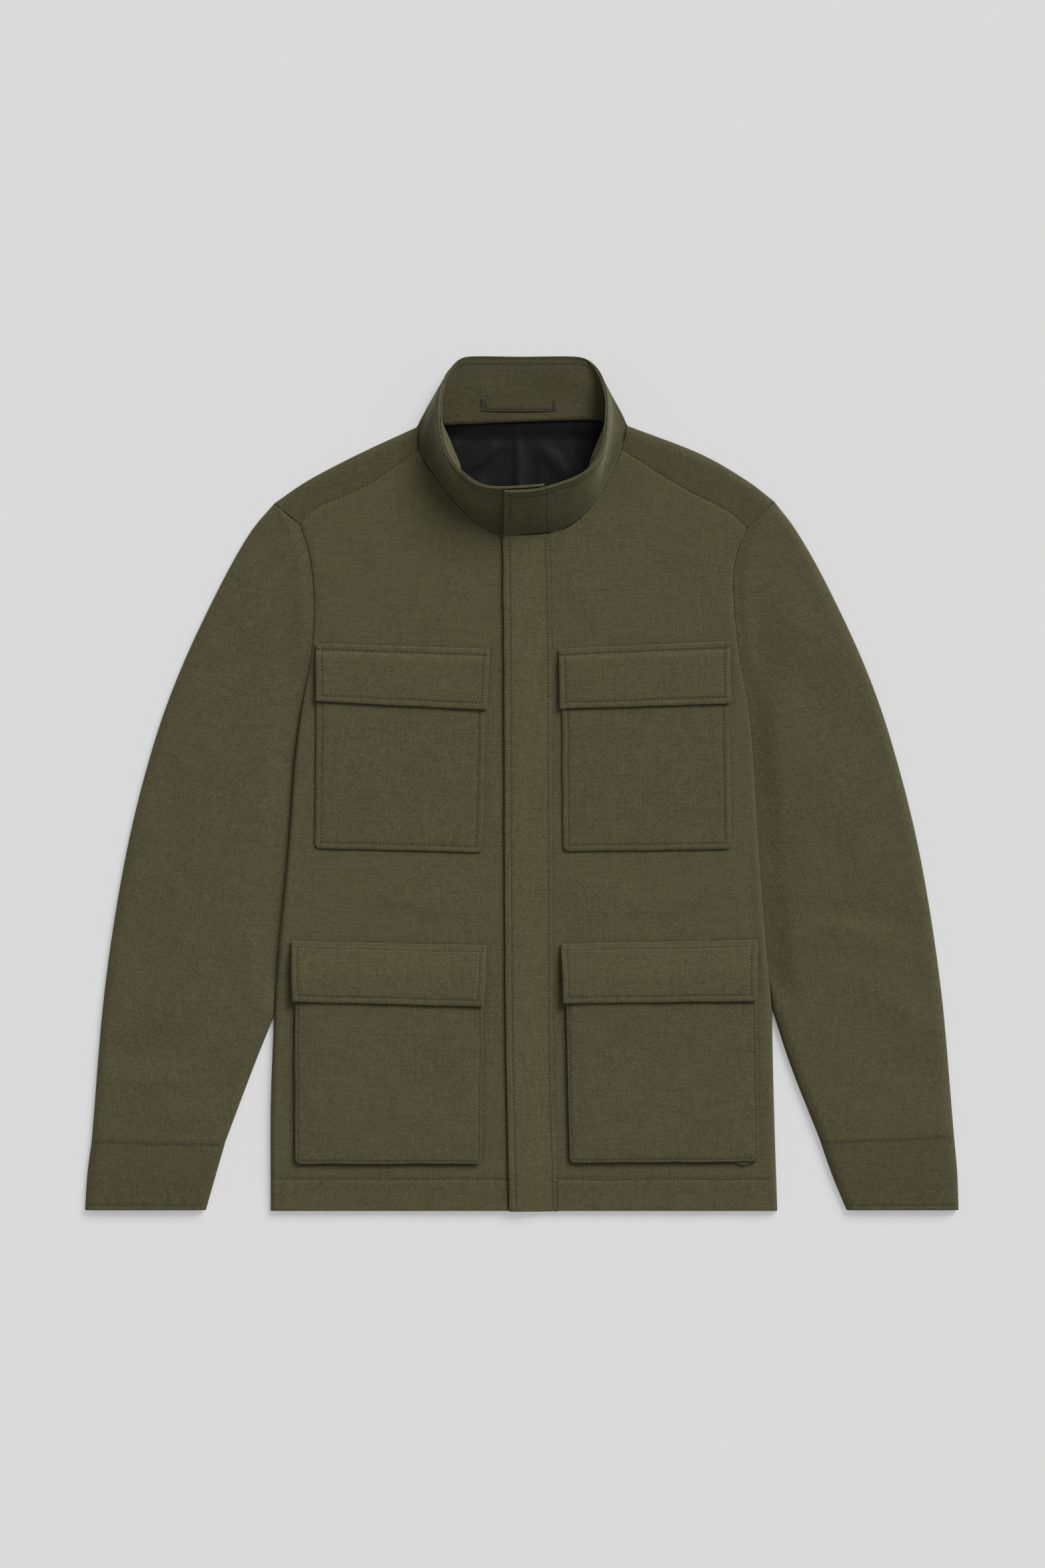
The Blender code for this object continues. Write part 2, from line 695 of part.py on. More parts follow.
def gusset_line(corners, inset):
    """The sides and bottom of a pocket at an inset from its edge, its two lower corners rounded."""
    top_left, top_right, low_left, low_right = (Vector(corner) for corner in corners)
    start = GUSSET_START / (top_left - low_left).length
    turn = max(GUSSET_TURN - inset, GUSSET_INNER_TURN)
    cut = turn * CORNER_CUT
    near = [(0, turn), (cut, cut), (turn, 0)]
    left = [low_left + Vector((inset + x, inset + y)) for x, y in near]
    right = [low_right + Vector((-inset - x, inset + y)) for x, y in near]
    first = top_left.lerp(low_left, start) + Vector((inset, 0))
    last = top_right.lerp(low_right, start) - Vector((inset, 0))
    return [first, *left, *right[::-1], last]


def make_gusset(side, corners, collection):
    """The folded sides and bottom of a bellows pocket: two layers meeting in an inner fold."""
    low = TOP + LAY_GAP + GUSSET_WALL / 2
    high = TOP + BELLOWS_LIFT - LAY_GAP - GUSSET_WALL / 2
    middle = (low + high) / 2
    inner = GUSSET_INSET + GUSSET_DEPTH
    profile = ((GUSSET_INSET, high), (inner, middle + GUSSET_FOLD), (inner, middle - GUSSET_FOLD),
               (GUSSET_INSET, low))
    net = [[Vector((p.x, p.y, height)) for p in gusset_line(corners, inset)] for inset, height in profile]
    return cloth("lower_gusset_" + side, [net], GUSSET_WALL, collection, centred=True, flats=False)


def main():
    for item in list(bpy.data.objects):
        bpy.data.objects.remove(item)
    jacket = bpy.data.collections.new("field_jacket")
    bpy.context.scene.collection.children.link(jacket)
    make_back(jacket)
    make_lining(jacket)
    make_placket(jacket)
    make_collar(jacket)
    make_loop(jacket)
    for side in ("right", "left"):
        make_front(side, jacket)
        make_sleeve(side, jacket)
        make_cuff(side, jacket)
        make_chest(side, jacket)
        make_lower(side, jacket)


main()
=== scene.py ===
"""Looks of a field jacket laid flat: fine cloth on its packed panels, with seams, stitches and creases.

Sizes are in millimetres unless said, and MM turns them into metres.  The wearer's right side is at -X.
"""

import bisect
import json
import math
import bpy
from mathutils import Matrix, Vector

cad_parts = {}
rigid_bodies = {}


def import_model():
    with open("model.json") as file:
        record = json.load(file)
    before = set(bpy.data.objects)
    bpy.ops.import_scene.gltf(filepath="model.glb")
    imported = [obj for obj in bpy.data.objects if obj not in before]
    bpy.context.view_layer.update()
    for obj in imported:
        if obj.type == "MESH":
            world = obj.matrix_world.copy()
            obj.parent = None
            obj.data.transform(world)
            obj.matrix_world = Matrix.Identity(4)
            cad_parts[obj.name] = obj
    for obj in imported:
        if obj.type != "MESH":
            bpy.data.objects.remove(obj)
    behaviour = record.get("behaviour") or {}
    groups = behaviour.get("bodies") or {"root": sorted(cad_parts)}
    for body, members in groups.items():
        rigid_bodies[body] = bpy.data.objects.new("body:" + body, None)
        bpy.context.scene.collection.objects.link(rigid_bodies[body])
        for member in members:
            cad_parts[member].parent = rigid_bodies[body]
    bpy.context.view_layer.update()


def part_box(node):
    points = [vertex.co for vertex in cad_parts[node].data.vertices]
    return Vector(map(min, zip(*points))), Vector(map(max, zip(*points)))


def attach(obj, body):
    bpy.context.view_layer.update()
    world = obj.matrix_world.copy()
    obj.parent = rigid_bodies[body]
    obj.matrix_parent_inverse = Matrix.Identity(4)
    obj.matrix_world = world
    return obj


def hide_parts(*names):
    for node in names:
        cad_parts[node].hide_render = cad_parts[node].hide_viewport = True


bl_info = {
    "name": "Field jacket, laid flat",
    "version": (1, 0, 0),
    "blender": (4, 5, 0),
    "location": "View3D > Sidebar > Jacket",
    "description": "Makes the cloth, seams and stitches of a field jacket laid flat",
    "category": "Object",
}

import bmesh
import bpy
from bpy.props import FloatProperty, FloatVectorProperty, PointerProperty
from mathutils import Matrix, Vector, noise
from mathutils.bvhtree import BVHTree

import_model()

MM = 0.001
SIDES = ("right", "left")

# Heights of the laid cloth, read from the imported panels, in millimetres
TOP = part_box("front_left")[1][2] / MM
PLACKET_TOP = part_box("placket")[1][2] / MM
PLACKET_RISE = PLACKET_TOP - TOP
HEM_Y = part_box("back")[0][1] / MM

# Cloth walls and lays
LAY_GAP = 0.4
SEAM_GAP = 0.14
FOLD_MID = 3.6
FOLD_REACH = 10.0
FOLD_UNDER = 5.0
SIDE_FOOT = 3.9
SIDE_REACH = 4.5
VALLEY_REACH = 27.0
SIDE_SKIRT = 2.6
ARMHOLE_DIP = 1.0
ARMHOLE_FLUSH_Y = 110.0
UNDERARM_Y = 20.0
VALLEY_TOP_Y = 150.0
VALLEY_START_Y = 165.0
PARTING_Y = -210.0
HEM_SINK_Y = -345.0
HEM_SINK = 2.6
CUFF_SINK = 1.4
UNDERLAP_X = 17.0
RISE_REACH = 40.0
UNDERLAP_SINK = 2.6

# Plan outlines, one row a landmark: x and y on the wearer's right, then x and y on the wearer's left
SHOULDER_LINE = ((-223, 252, 227, 254), (-192, 273, 202, 273), (-146, 297, 160, 297), (-94, 321, 95, 322))
SHOULDER_SEAM = ((-200, 234, 203, 230), (-182, 249, 183, 246), (-137, 269, 141, 268), (-94, 299, 90, 300))
ARMHOLE = (
    (-200, 234, 203, 230),
    (-191, 205, 193, 205),
    (-187, 168, 190, 176),
    (-189, 117, 195, 117),
    (-198, 65, 204, 65),
    (-204, 20, 208, 20),
)
BODY_SIDE = ((-204, 20, 208, 20), (-210, -60, 213, -60), (-218, -140, 219, -140), (-223, -210, 225, -203))
HEM_SIDE = ((-223, -210, 225, -203), (-226, -290, 227, -290), (-226, -384, 230, -384))
SLEEVE_OUTER = (
    (-223.3, 251.5, 227.4, 253.5),
    (-245, 225, 248, 226),
    (-272, 177, 275, 178),
    (-306, 105, 309, 105),
    (-332, 33, 334, 33),
    (-356, -63, 358, -63),
    (-375, -183, 377, -183),
    (-387, -321, 389, -317),
)
SLEEVE_INNER = ((-223, -210, 225, -203), (-241, -255, 242, -255), (-267, -324, 268.5, -322))
CUFF_OUTER = ((-387, -321, 389, -317), (-391, -352, 392, -352), (-393, -383.4, 393, -383.4))
CUFF_INNER = ((-267, -324, 268.5, -322), (-275, -352, 279, -352), (-284, -383.4, 292, -383.4))
NECK_FRONT = ((-35, 230, 43, 231), (-60, 252.5, 64, 251), (-84, 284, 82, 283), (-94, 299, 90, 300))
NECK_TILT = (-1.2, 2.6)
NECK_TILT_REACH = 30.0
NECK_SHOULDER = ((-94, 299, 90, 300), (-94, 310, 92.5, 311), (-94, 321, 95, 322))
NECK_BACK = ((-94, 321), (-67, 323.5), (0, 326.5), (67, 328), (95, 322))

# The fly strip: y, x of its free edge, x of its sewn edge
PLACKET = ((223, -17, 25), (120, -16, 27), (-117, -15, 28), (-240, -14, 28.5), (-384.5, -11, 32.5))
NECK_Y, PLACKET_FOOT_Y = PLACKET[0][0], PLACKET[-1][0]
SEWN_GAP = 0.05

# Top edge of the collar from the front centre to the nape: x, y, z
COLLAR_TOP = {
    "left": ((25, 264.5, 48), (51, 274, 46), (66, 287, 44.5), (73, 303, 43), (75.5, 323, 40),
             (75.5, 346, 30), (71, 365, 16)),
    "right": ((-16, 263.5, 46), (-38, 266.5, 46), (-60, 284, 44.5), (-70, 303, 43), (-73, 325, 40),
              (-72, 347, 30), (-67.5, 366, 16)),
}
COLLAR_NAPE_TOP = {
    "left": ((71, 365, 16), (63, 378, 7), (50, 384.0, 2.6), (0, 384.0, 2.1)),
    "right": ((-67.5, 366, 16), (-60, 377, 7), (-50, 384.0, 2.6), (0, 384.0, 2.1)),
}
COLLAR_FOOT = 7.7

# The collar's front ends: x and y of the foot, above the neck's y on the overlap, then x, y and z of the top
OVERLAP_FOOT = ((-16.5, 0.0), (-4, 1.2), (8, 2.3), (18, 3.2))
OVERLAP_TOP = ((-15.6, 260.4, 48.4), (-4, 260.6, 48.4), (8, 261.2, 48.4), (18, 262.6, 48.4))
UNDERLAP_FOOT = ((18, 226.0), (8, 225.6), (-4, 225.2))
UNDERLAP_TOP = ((20, 266.4, 45.2), (8, 265.4, 45.2), (-4, 264.6, 45.2))
COLLAR_ASIDE = 1.35
COLLAR_FALL = 0.8
COLLAR_FOLD_LIFT = 0.6
CORNER_START = 0.84
FRONT_SHARE = 0.12
UNDERLAP_SHARE = 0.17
NAPE_LAP = 1.6
NAPE_FOOT = 9.0
NAPE_TURN = (1.4, 0.6, 5.0)
CORNER_PUSH = 1.9
FLOOR_GAP = 0.1

# Pockets: the four corners of each flap and each pocket, from top left, as x and y
CHEST_FLAP = {"right": ((-185, 126), (-29, 121), (-185, 74), (-31, 66)),
              "left": ((33, 121), (187, 128), (34, 67), (188, 72))}
CHEST_POCKET = {"right": ((-184, 112), (-32, 107), (-186, -58), (-35, -62)),
                "left": ((35.5, 107), (186, 114), (37, -61), (188, -59))}
LOWER_FLAP = {"right": ((-207, -141), (-31, -145), (-206, -195.5), (-34, -200)),
              "left": ((35, -143.5), (212, -140), (37, -197), (211, -195))}
LOWER_POCKET = {"right": ((-203.5, -151), (-34.5, -155), (-203.5, -341), (-36, -341)),
                "left": ((39, -153.5), (210, -150), (43, -340), (213, -339))}
CHEST_STEP = 8.0
BELLOWS_START = 30.0
POCKET_TURN = 5.0
FLAP_TURN = 1.6
BELLOWS_LIFT = 3.2
BELLOWS_FOOT = 0.5
GUSSET_START = 36.0
EDGE_SINK = 0.8
PEEK_X, PEEK_Y = 199.0, -320
PEEK_DROP = 5.2
GUSSET_INSET = 1.6
GUSSET_DEPTH = 9.0
LOOP = (-36, 32, 334.5, 346.5)
LOOP_BOW = 1.4
LOOP_Z = 10.0
LINING_HALF_LOW = 112.0
LINING_LOW_Y = 190.0
LINING_DEPTH = 136
LINING_SPAN = (0.07, 0.93)
LINING_TUCK = 2.0
LINING_RISE_Y = 308.0

# Walls of the fine cloth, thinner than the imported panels, with the same upper faces
PATCH_WALL = 1.8
FLAP_WALL = 2.2
SHELL_WALL = 1.6
PLACKET_CLOTH_WALL = 2.4
COLLAR_SHELL_WALL = 2.4
CUFF_WALL = 2.2
LINING_TOP = 4.2
LINING_RISE = 3.2
LINING_SHELL_WALL = 0.8
LOOP_WALL = 1.3
PATCH_SHELL_WALL = 1.5
FLAP_SHELL_WALL = 2.1
GUSSET_WALL = 0.9
GUSSET_TURN = 8.0

# Steps along the outlines, and how far cloth turned into a seam goes down
NECK_STEPS = 34
NAPE_STEPS = 48
NECK_SIDE_STEPS = 8
BACK_EDGE_STEP = 5
ARMHOLE_STEPS = 66
NECK_SHARE = 0.42
HEM_FINE_SHARES = (0.805, 0.815, 0.822, 0.828, 0.834, 0.842, 0.852, 0.862)
FOLD_STEPS_UNDER = (FOLD_UNDER, 3.4, 2.0, 1.0, 0.4, 0.0)
FOLD_STEPS_OVER = (0.3, 0.8, 1.6, 3.0, 4.6, 6.5, 8.2, FOLD_REACH)
YOKE_SHARES = (0.12, 0.25, 0.4, 0.55, 0.7, 0.82, 0.9, 0.95, 0.98, 1.0)
FREE_EDGE_STEPS = (0.6, 1.4, 2.6, 4.4, 5.3, 6.0, 6.7, 7.6)
SEWN_EDGE_STEPS = (0.5, 1.2, 2.2, 3.2, 3.8, 4.4, 5.2)
CUFF_TOP_STEPS = (0.5, 1.1, 1.9, 3.0)
CUFF_HEM_STEPS = (0.4, 1.0, 1.8, 2.8, 3.5, 4.0, 4.5, 5.1, 6.0)
FLAP_TOP_STEPS = (0.4, 1.0, 1.8, 2.8, 3.8)
SHOULDER_LIP = 3.0
FRONT_LIP = 2.4
SLEEVE_LIP = 2.6
SLEEVE_ASIDE = 0.16

# Stitching: how far it runs inside each edge, and the collar's rolled edge
HEM_STITCH_Y = -355.0
PLACKET_STITCH = 6.0
SEWN_STITCH = 3.8
CUFF_STITCH = 4.4
POCKET_STITCH = 5.5
FLAP_STITCH = 5.5
FLAP_FOLD = 5.2
LOWER_STITCH = 2.4
COLLAR_STITCH = 7.4
COLLAR_TROUGH = 0.45
COLLAR_STEPS_ALONG = 300
ROLL_DEPTH = 2.4
INNER_FALL = {"right": 3.0, "left": 0.6}
COLLAR_LEAN = 0.38
ROLL_SIZE = 0.85
ROLL_PLUMP = 0.85
ROLL_START = -25
ROLL_TURN = 222
COLLAR_SPAN = (0.012, 0.988)
LOOP_PITCH = 1.1

# Soft folds of the lining: middle x and y, length, direction in degrees, half width, height, bow
LINING_CREASES = (
    (-36, 293, 52, 41, 4.5, 1.5, 4),
    (-24, 286, 50, 52, 5.0, -1.3, -3),
    (-3, 276, 110, 90, 3.5, 1.2, 2),
    (8, 262, 90, 84, 6.0, -1.0, 3),
    (30, 290, 60, -50, 6.0, 1.0, -3),
    (52, 300, 50, -68, 6.0, -1.3, 3),
    (-58, 262, 60, 66, 6.5, 1.0, 3),
    (-66, 300, 34, 30, 4.0, 1.4, 3),
    (60, 268, 44, 58, 4.5, 1.2, 3),
)

# Dents of the collar: x and y of the top edge beside it, drop, half width, reach, depth
COLLAR_DENTS = (
    (-38, 384, 26, 15, 11, -1.2),
    (12, 384, 30, 18, 12, 1.0),
    (48, 384, 24, 13, 12, -1.1),
    (-70, 352, 24, 12, 12, 1.3),
    (74, 350, 26, 12, 12, -0.7),
    (-66, 300, 20, 12, 12, -1.0),
    (35, 268, 22, 14, 12, -0.6),
    (-8, 262, 22, 10, 12, 0.5),
)

# How light each cotton piece's colour is made, against the body's cloth
TONES = {"Body": 1.0, "Yoke": 0.86, "Fly": 1.03, "Collar": 1.05, "Loop": 0.77, "Sleeve": 0.96, "Cuff": 0.89,
         "Pocket": 0.97, "Flap": 1.0}
# Painted shade: the collar's colour is darkened to this share where it lies low at the back, standing in for
# the shade on its sloping inner back
COLLAR_PAINTED_LOW_SHADE = 0.67

# The camera and floor, in metres, but for the sensor and the view's height and centre, in millimetres
CAMERA_HEIGHT = 4.0
SENSOR = 36.0
VIEW_HEIGHT = 1411.2
VIEW_CENTRE = (0.6, -0.3)
FLOOR_Z = -0.0004
FLOOR_SIZE = 6.0
VIEW_REACH = 60.0


# ---------------------------------------------------------------- lines and nets


def landmarks(table, side):
    """The x and y of one side of a table of landmarks."""
    first = 0 if side == "right" else 2
    return [(row[first], row[first + 1]) for row in table]


def sign_of(side):
    """Which way along X a side of the wearer lies."""
    return -1 if side == "right" else 1


def blend(a, b, share):
    return a + (b - a) * share


def ease(share):
    """A share from 0 to 1, started and ended gently."""
    share = min(max(share, 0.0), 1.0)
    return share * share * (3.0 - 2.0 * share)


def rounded(share):
    """Height of a quarter-round edge, from 0 at the edge to 1 where it meets the flat."""
    share = min(max(share, 0.0), 1.0)
    return math.sqrt(1.0 - (1.0 - share) ** 2)


def hump(distance, width):
    """A soft ridge, 1 at its crest."""
    return math.exp(-(distance / width) ** 2)


def even(count):
    """Shares from 0 to 1 in equal steps."""
    return [index / count for index in range(count + 1)]


def fine_ends(count, length, start=(), end=()):
    """Even shares of a length, with more of them at the stated distances from its two ends."""
    first, last = max(start, default=0), length - max(end, default=0)
    inner = [step for step in even(count) if first < step * length < last]
    near = [distance / length for distance in (0, *start)]
    return near + inner + [1 - distance / length for distance in (*end[::-1], 0)]


class Curve:
    """A smooth line through points, read by the share of its length or by its knots."""

    SPANS = 12

    def __init__(self, points):
        knots = [Vector(point) for point in points]
        self.knots = [2 * knots[0] - knots[1], *knots, 2 * knots[-1] - knots[-2]]
        self.points = [self.knot(index / self.SPANS) for index in range((len(points) - 1) * self.SPANS + 1)]
        self.reach = [0.0]
        for start, end in zip(self.points, self.points[1:]):
            self.reach.append(self.reach[-1] + (end - start).length)
        self.length = self.reach[-1]

    def knot(self, place):
        """The point at a place counted in knots."""
        index = min(int(place), len(self.knots) - 4)
        t = place - index
        before, start, end, after = self.knots[index:index + 4]
        return 0.5 * (2 * start + (end - before) * t
                      + (2 * before - 5 * start + 4 * end - after) * t ** 2
                      + (3 * start - before - 3 * end + after) * t ** 3)

    def at(self, share):
        goal = min(max(share, 0.0), 1.0) * self.length
        index = min(bisect.bisect_left(self.reach, goal), len(self.reach) - 1)
        if index == 0:
            return self.points[0].copy()
        span = self.reach[index] - self.reach[index - 1]
        return self.points[index - 1].lerp(self.points[index], (goal - self.reach[index - 1]) / span)

    def samples(self, steps):
        return [self.at(step) for step in steps]


def waver(*place):
    """A smooth random number from about -1 to 1, the same each time at the same place."""
    return noise.noise(Vector(place))


def lifted(point, height):
    """A plan point at a height."""
    return Vector((point.x, point.y, height))


def outline_of(table, side):
    """The smooth line through one side of a table of landmarks."""
    return Curve(landmarks(table, side))


def shares_of(line):
    """The share of its length that a line has reached at each of its points."""
    reach = [0.0]
    for start, end in zip(line, line[1:]):
        reach.append(reach[-1] + (end - start).length)
    return [value / reach[-1] for value in reach]


def coons(low, high, start, end):
    """A net of plan points filled in from its four edges, which share their corners."""
    across_shares = [(a + b) / 2 for a, b in zip(shares_of(low), shares_of(high))]
    up_shares = [(a + b) / 2 for a, b in zip(shares_of(start), shares_of(end))]
    net = []
    for j, v in enumerate(up_shares):
        row = []
        for i, u in enumerate(across_shares):
            corners = low[0].lerp(low[-1], u).lerp(high[0].lerp(high[-1], u), v)
            row.append(low[i].lerp(high[i], v) + start[j].lerp(end[j], u) - corners)
        net.append(row)
    return net


def raised(net, height):
    """Plan points given their height by a function of the row, the column and the point."""
    return [[lifted(p, height(j, i, p)) for i, p in enumerate(row)] for j, row in enumerate(net)]


# ---------------------------------------------------------------- creases

CREASE_DEPTH = 1.5

# Soft folds pressed into the cloth: middle x and y, length, direction in degrees, half width, height, bow
BODY_CREASES = (
    (120, -108, 175, 6, 11, 0.55, 10),
    (135, -122, 130, 9, 8, -0.45, 8),
    (75, -96, 90, -8, 9, 0.4, 6),
    (-115, -104, 150, -5, 13, 0.4, 8),
    (-95, -122, 110, -9, 9, -0.35, 6),
    (-60, 165, 95, 62, 14, 0.45, 8),
    (-110, 205, 120, 55, 16, -0.45, 10),
    (62, 168, 100, -64, 14, 0.45, -8),
    (118, 200, 110, -52, 16, -0.4, -10),
    (-168, 175, 85, 76, 12, 0.4, 6),
    (168, 182, 85, -76, 12, 0.4, -6),
    (-205, -95, 150, 86, 9, -0.5, 4),
    (206, -100, 160, -86, 9, -0.55, 4),
    (-24, -20, 260, 90, 7, 0.35, 5),
    (30, 30, 240, 90, 7, -0.3, -5),
    (-130, -362, 150, 2, 8, -0.3, 4),
    (125, -364, 170, -3, 8, -0.3, 4),
)
SLEEVE_CREASES = (
    (-345, -244, 115, 10, 13, -1.1, 8),
    (-330, -262, 90, 4, 11, 0.8, 6),
    (-318, -205, 100, 22, 14, 0.7, 9),
    (-300, -60, 130, 62, 22, 0.8, 14),
    (-262, 70, 150, 60, 20, -0.8, 14),
    (-240, 150, 120, 64, 15, 0.8, 10),
    (-215, 118, 130, 78, 10, -0.9, 6),
    (-235, -80, 170, 84, 14, -0.9, 6),
    (-330, -150, 120, 70, 16, -0.6, 8),
    (-300, -300, 70, -12, 10, 0.6, 5),
    (306, -116, 135, -7, 12, -1.0, -9),
    (300, -134, 110, -12, 11, 0.8, -7),
    (330, -200, 110, -26, 15, 0.7, -8),
    (296, -40, 120, -60, 20, 0.8, -12),
    (262, 80, 150, -60, 20, -0.8, -14),
    (243, 150, 110, -62, 15, 0.8, -9),
    (218, 112, 130, -78, 10, -0.9, -6),
    (238, -75, 170, -84, 14, -0.9, -6),
    (345, -255, 100, -6, 12, -0.7, 6),
    (310, -298, 70, 10, 10, 0.6, -5),
)


def creased(x, y, table):
    """Height added at a point by a table of creases."""
    total = 0.0
    for middle_x, middle_y, length, turn, width, height, bow in table:
        dx, dy = x - middle_x, y - middle_y
        if dx * dx + dy * dy > (length * 0.5 + width) ** 2:
            continue
        angle = math.radians(turn)
        along = (dx * math.cos(angle) + dy * math.sin(angle)) / (length * 0.5)
        if abs(along) >= 1.0:
            continue
        across = -dx * math.sin(angle) + dy * math.cos(angle) - bow * along * along
        total += height * (1.0 - along * along) ** 2 * hump(across, width)
    return total * CREASE_DEPTH


def slack(x, y, size, depth):
    """The small unevenness of cloth that lies by itself."""
    place = Vector((x / size, y / size, 0.37))
    return depth * (noise.noise(place) + 0.45 * noise.noise(place * 2.3))


def lay(x, y):
    """How far the body's upper layers, and what is sewn on them, lie off their even height."""
    return creased(x, y, BODY_CREASES) + slack(x, y, 70.0, 0.5) + slack(x, y, 21.0, 0.12)


# ---------------------------------------------------------------- heights


def hem_drop(y):
    """How far the upper layer sinks onto the lower one towards the hem."""
    return HEM_SINK * ease((HEM_SINK_Y - y) / (HEM_SINK_Y - HEM_Y))


def front_height(y, distance):
    """Upper face of a front at a distance from its side edge."""
    top = TOP - hem_drop(y)
    share = ease((ARMHOLE_FLUSH_Y - y) / (ARMHOLE_FLUSH_Y - PARTING_Y))
    foot = blend(top - ARMHOLE_DIP, SIDE_FOOT, share)
    reach = blend(FOLD_REACH, SIDE_REACH, ease((150.0 - y) / 120.0))
    return foot + (top - foot) * rounded(distance / reach)


def fold_over(distance):
    """Upper face of cloth folded over, at a distance from the fold."""
    return FOLD_MID + (TOP - FOLD_MID) * rounded(distance / FOLD_REACH)


def fold_under(distance):
    """Lower face of cloth folded over, at a distance from the fold."""
    return FOLD_MID * (1.0 - rounded(distance / FOLD_UNDER))


def placket_height(x, y, edge):
    """Upper face of the fly strip, level with the front where it is sewn."""
    return TOP - hem_drop(y) + PLACKET_RISE * ease((edge - x) / RISE_REACH)


def seam_dip(distance, depth=0.7, width=1.1):
    """How far cloth turns down into a seam at a distance from it."""
    return -depth * math.exp(-distance / width)


# ---------------------------------------------------------------- outlines


def body_rows():
    """Shares down the three parts of a body's side edge, finer round the hem's stitching."""
    armhole = even(ARMHOLE_STEPS)
    side = even(70)[1:]
    hem = [share for share in even(50)[1:] if not 0.8 < share < 0.87]
    return armhole, side, sorted([*hem, *HEM_FINE_SHARES])


def body_edge(side):
    """Side edge of the body from the forward shoulder seam down to the hem."""
    armhole, body, hem = body_rows()
    edge = outline_of(ARMHOLE, side).samples(armhole)
    edge += outline_of(BODY_SIDE, side).samples(body)
    edge += outline_of(HEM_SIDE, side).samples(hem)
    return edge


SEAM_COLUMNS = [0.0, 0.01, 0.025, 0.045, *[0.07 + 0.93 * index / 30 for index in range(31)]]


def shoulder_lines(side):
    """The fold over the shoulder and the forward shoulder seam, both from the sleeve to the neck."""
    outline, seam = outline_of(SHOULDER_LINE, side), outline_of(SHOULDER_SEAM, side)
    return outline.samples(SEAM_COLUMNS), seam.samples(SEAM_COLUMNS)


def placket_x(column):
    """The x of the fly strip's free edge (column 1) or sewn edge (column 2) at a y."""
    curve = Curve([(row[column], row[0]) for row in PLACKET])

    def at(y):
        share = (NECK_Y - y) / (NECK_Y - PLACKET_FOOT_Y)
        return curve.at(share).x
    return at


FREE_X, SEWN_X = placket_x(1), placket_x(2)


def centre_x(side, y):
    """The x of a front's centre edge at a y."""
    return UNDERLAP_X if side == "right" else SEWN_X(y) + SEWN_GAP


def neck_front(side):
    """Front neck edge from the centre to the forward shoulder seam."""
    start = (UNDERLAP_X, 223.5) if side == "right" else (SEWN_X(NECK_Y) + SEWN_GAP, NECK_Y + NECK_TILT[1])
    extra = [start, (-14, 224)] if side == "right" else [start]
    return Curve(extra + landmarks(NECK_FRONT, side)).samples(even(NECK_STEPS))


def nape_edge():
    """Neck edge of the back, from the wearer's right to the left."""
    return Curve(NECK_BACK).samples(even(NAPE_STEPS))


def neck_shoulder(side):
    """Neck edge from the forward shoulder seam to the fold over the shoulder."""
    return outline_of(NECK_SHOULDER, side).samples(even(NECK_SIDE_STEPS))


# ---------------------------------------------------------------- making pieces


def grain_of(nets, plan):
    """Metres of cloth across and up at every point of each net: its plan, or its own lengths."""
    if plan:
        return [[[(p.x * MM, p.y * MM) for p in row] for row in net] for net in nets]
    grains = []
    for net in nets:
        ups = [0.0] * len(net[0])
        grain = []
        for j, row in enumerate(net):
            across, line = 0.0, []
            for i, point in enumerate(row):
                if i:
                    across += (point - row[i - 1]).length
                if j:
                    ups[i] += (point - net[j - 1][i]).length
                line.append((across * MM, ups[i] * MM))
            grain.append(line)
        grains.append(grain)
    return grains


def net_mesh(name, nets, plan=True):
    """A mesh from one or more nets of points, joined where their edges meet, with its grain as a UV map."""
    bm = bmesh.new()
    layer = bm.loops.layers.uv.new("Grain")
    for net, grain in zip(nets, grain_of(nets, plan)):
        rows, columns = len(net) - 1, len(net[0]) - 1
        made = bmesh.ops.create_grid(bm, x_segments=columns, y_segments=rows, size=0.5)
        place = {}
        for vert in made["verts"]:
            j, i = round((vert.co.y + 0.5) * rows), round((vert.co.x + 0.5) * columns)
            place[vert] = (j, i)
        for face in {face for vert in made["verts"] for face in vert.link_faces}:
            for loop in face.loops:
                j, i = place[loop.vert]
                loop[layer].uv = grain[j][i]
        for vert, (j, i) in place.items():
            vert.co = net[j][i] * MM
    bmesh.ops.remove_doubles(bm, verts=bm.verts, dist=0.00001)
    bmesh.ops.recalc_face_normals(bm, faces=bm.faces)
    return finished_mesh(name, bm)


def finished_mesh(name, bm):
    """The mesh of a bmesh, which is given up."""
    mesh = bpy.data.meshes.new(name)
    bm.to_mesh(mesh)
    bm.free()
    return mesh


def add_piece(name, mesh, material, replaced=None):
    """An object riding on the jacket's one body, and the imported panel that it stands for, if any."""
    piece = bpy.data.objects.new(name, mesh)
    bpy.context.scene.collection.objects.link(piece)
    mesh.materials.append(material)
    mesh.shade_smooth()
    if replaced:
        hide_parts(replaced)
    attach(piece, "root")
    return piece


def cloth(name, nets, wall, material, edge, middle=(0, 0, -1), plan=True, centred=False):
    """A piece of cloth: its outer face as nets of points, thickened inward and rounded at its edges."""
    mesh = net_mesh(name, nets, plan)
    middle = Vector(middle)
    if sum((polygon.center - middle).dot(polygon.normal) * polygon.area for polygon in mesh.polygons) < 0:
        mesh.flip_normals()
    piece = add_piece(name + "_cloth", mesh, material, name)
    solid = piece.modifiers.new("Wall", "SOLIDIFY")
    solid.thickness = wall * MM
    solid.offset = 0.0 if centred else -1.0
    solid.use_even_offset = False
    soft = piece.modifiers.new("Soft edges", "BEVEL")
    soft.width = edge * MM
    soft.segments = 2
    soft.limit_method = "ANGLE"
    soft.angle_limit = math.radians(55)
    soft.harden_normals = False
    return piece


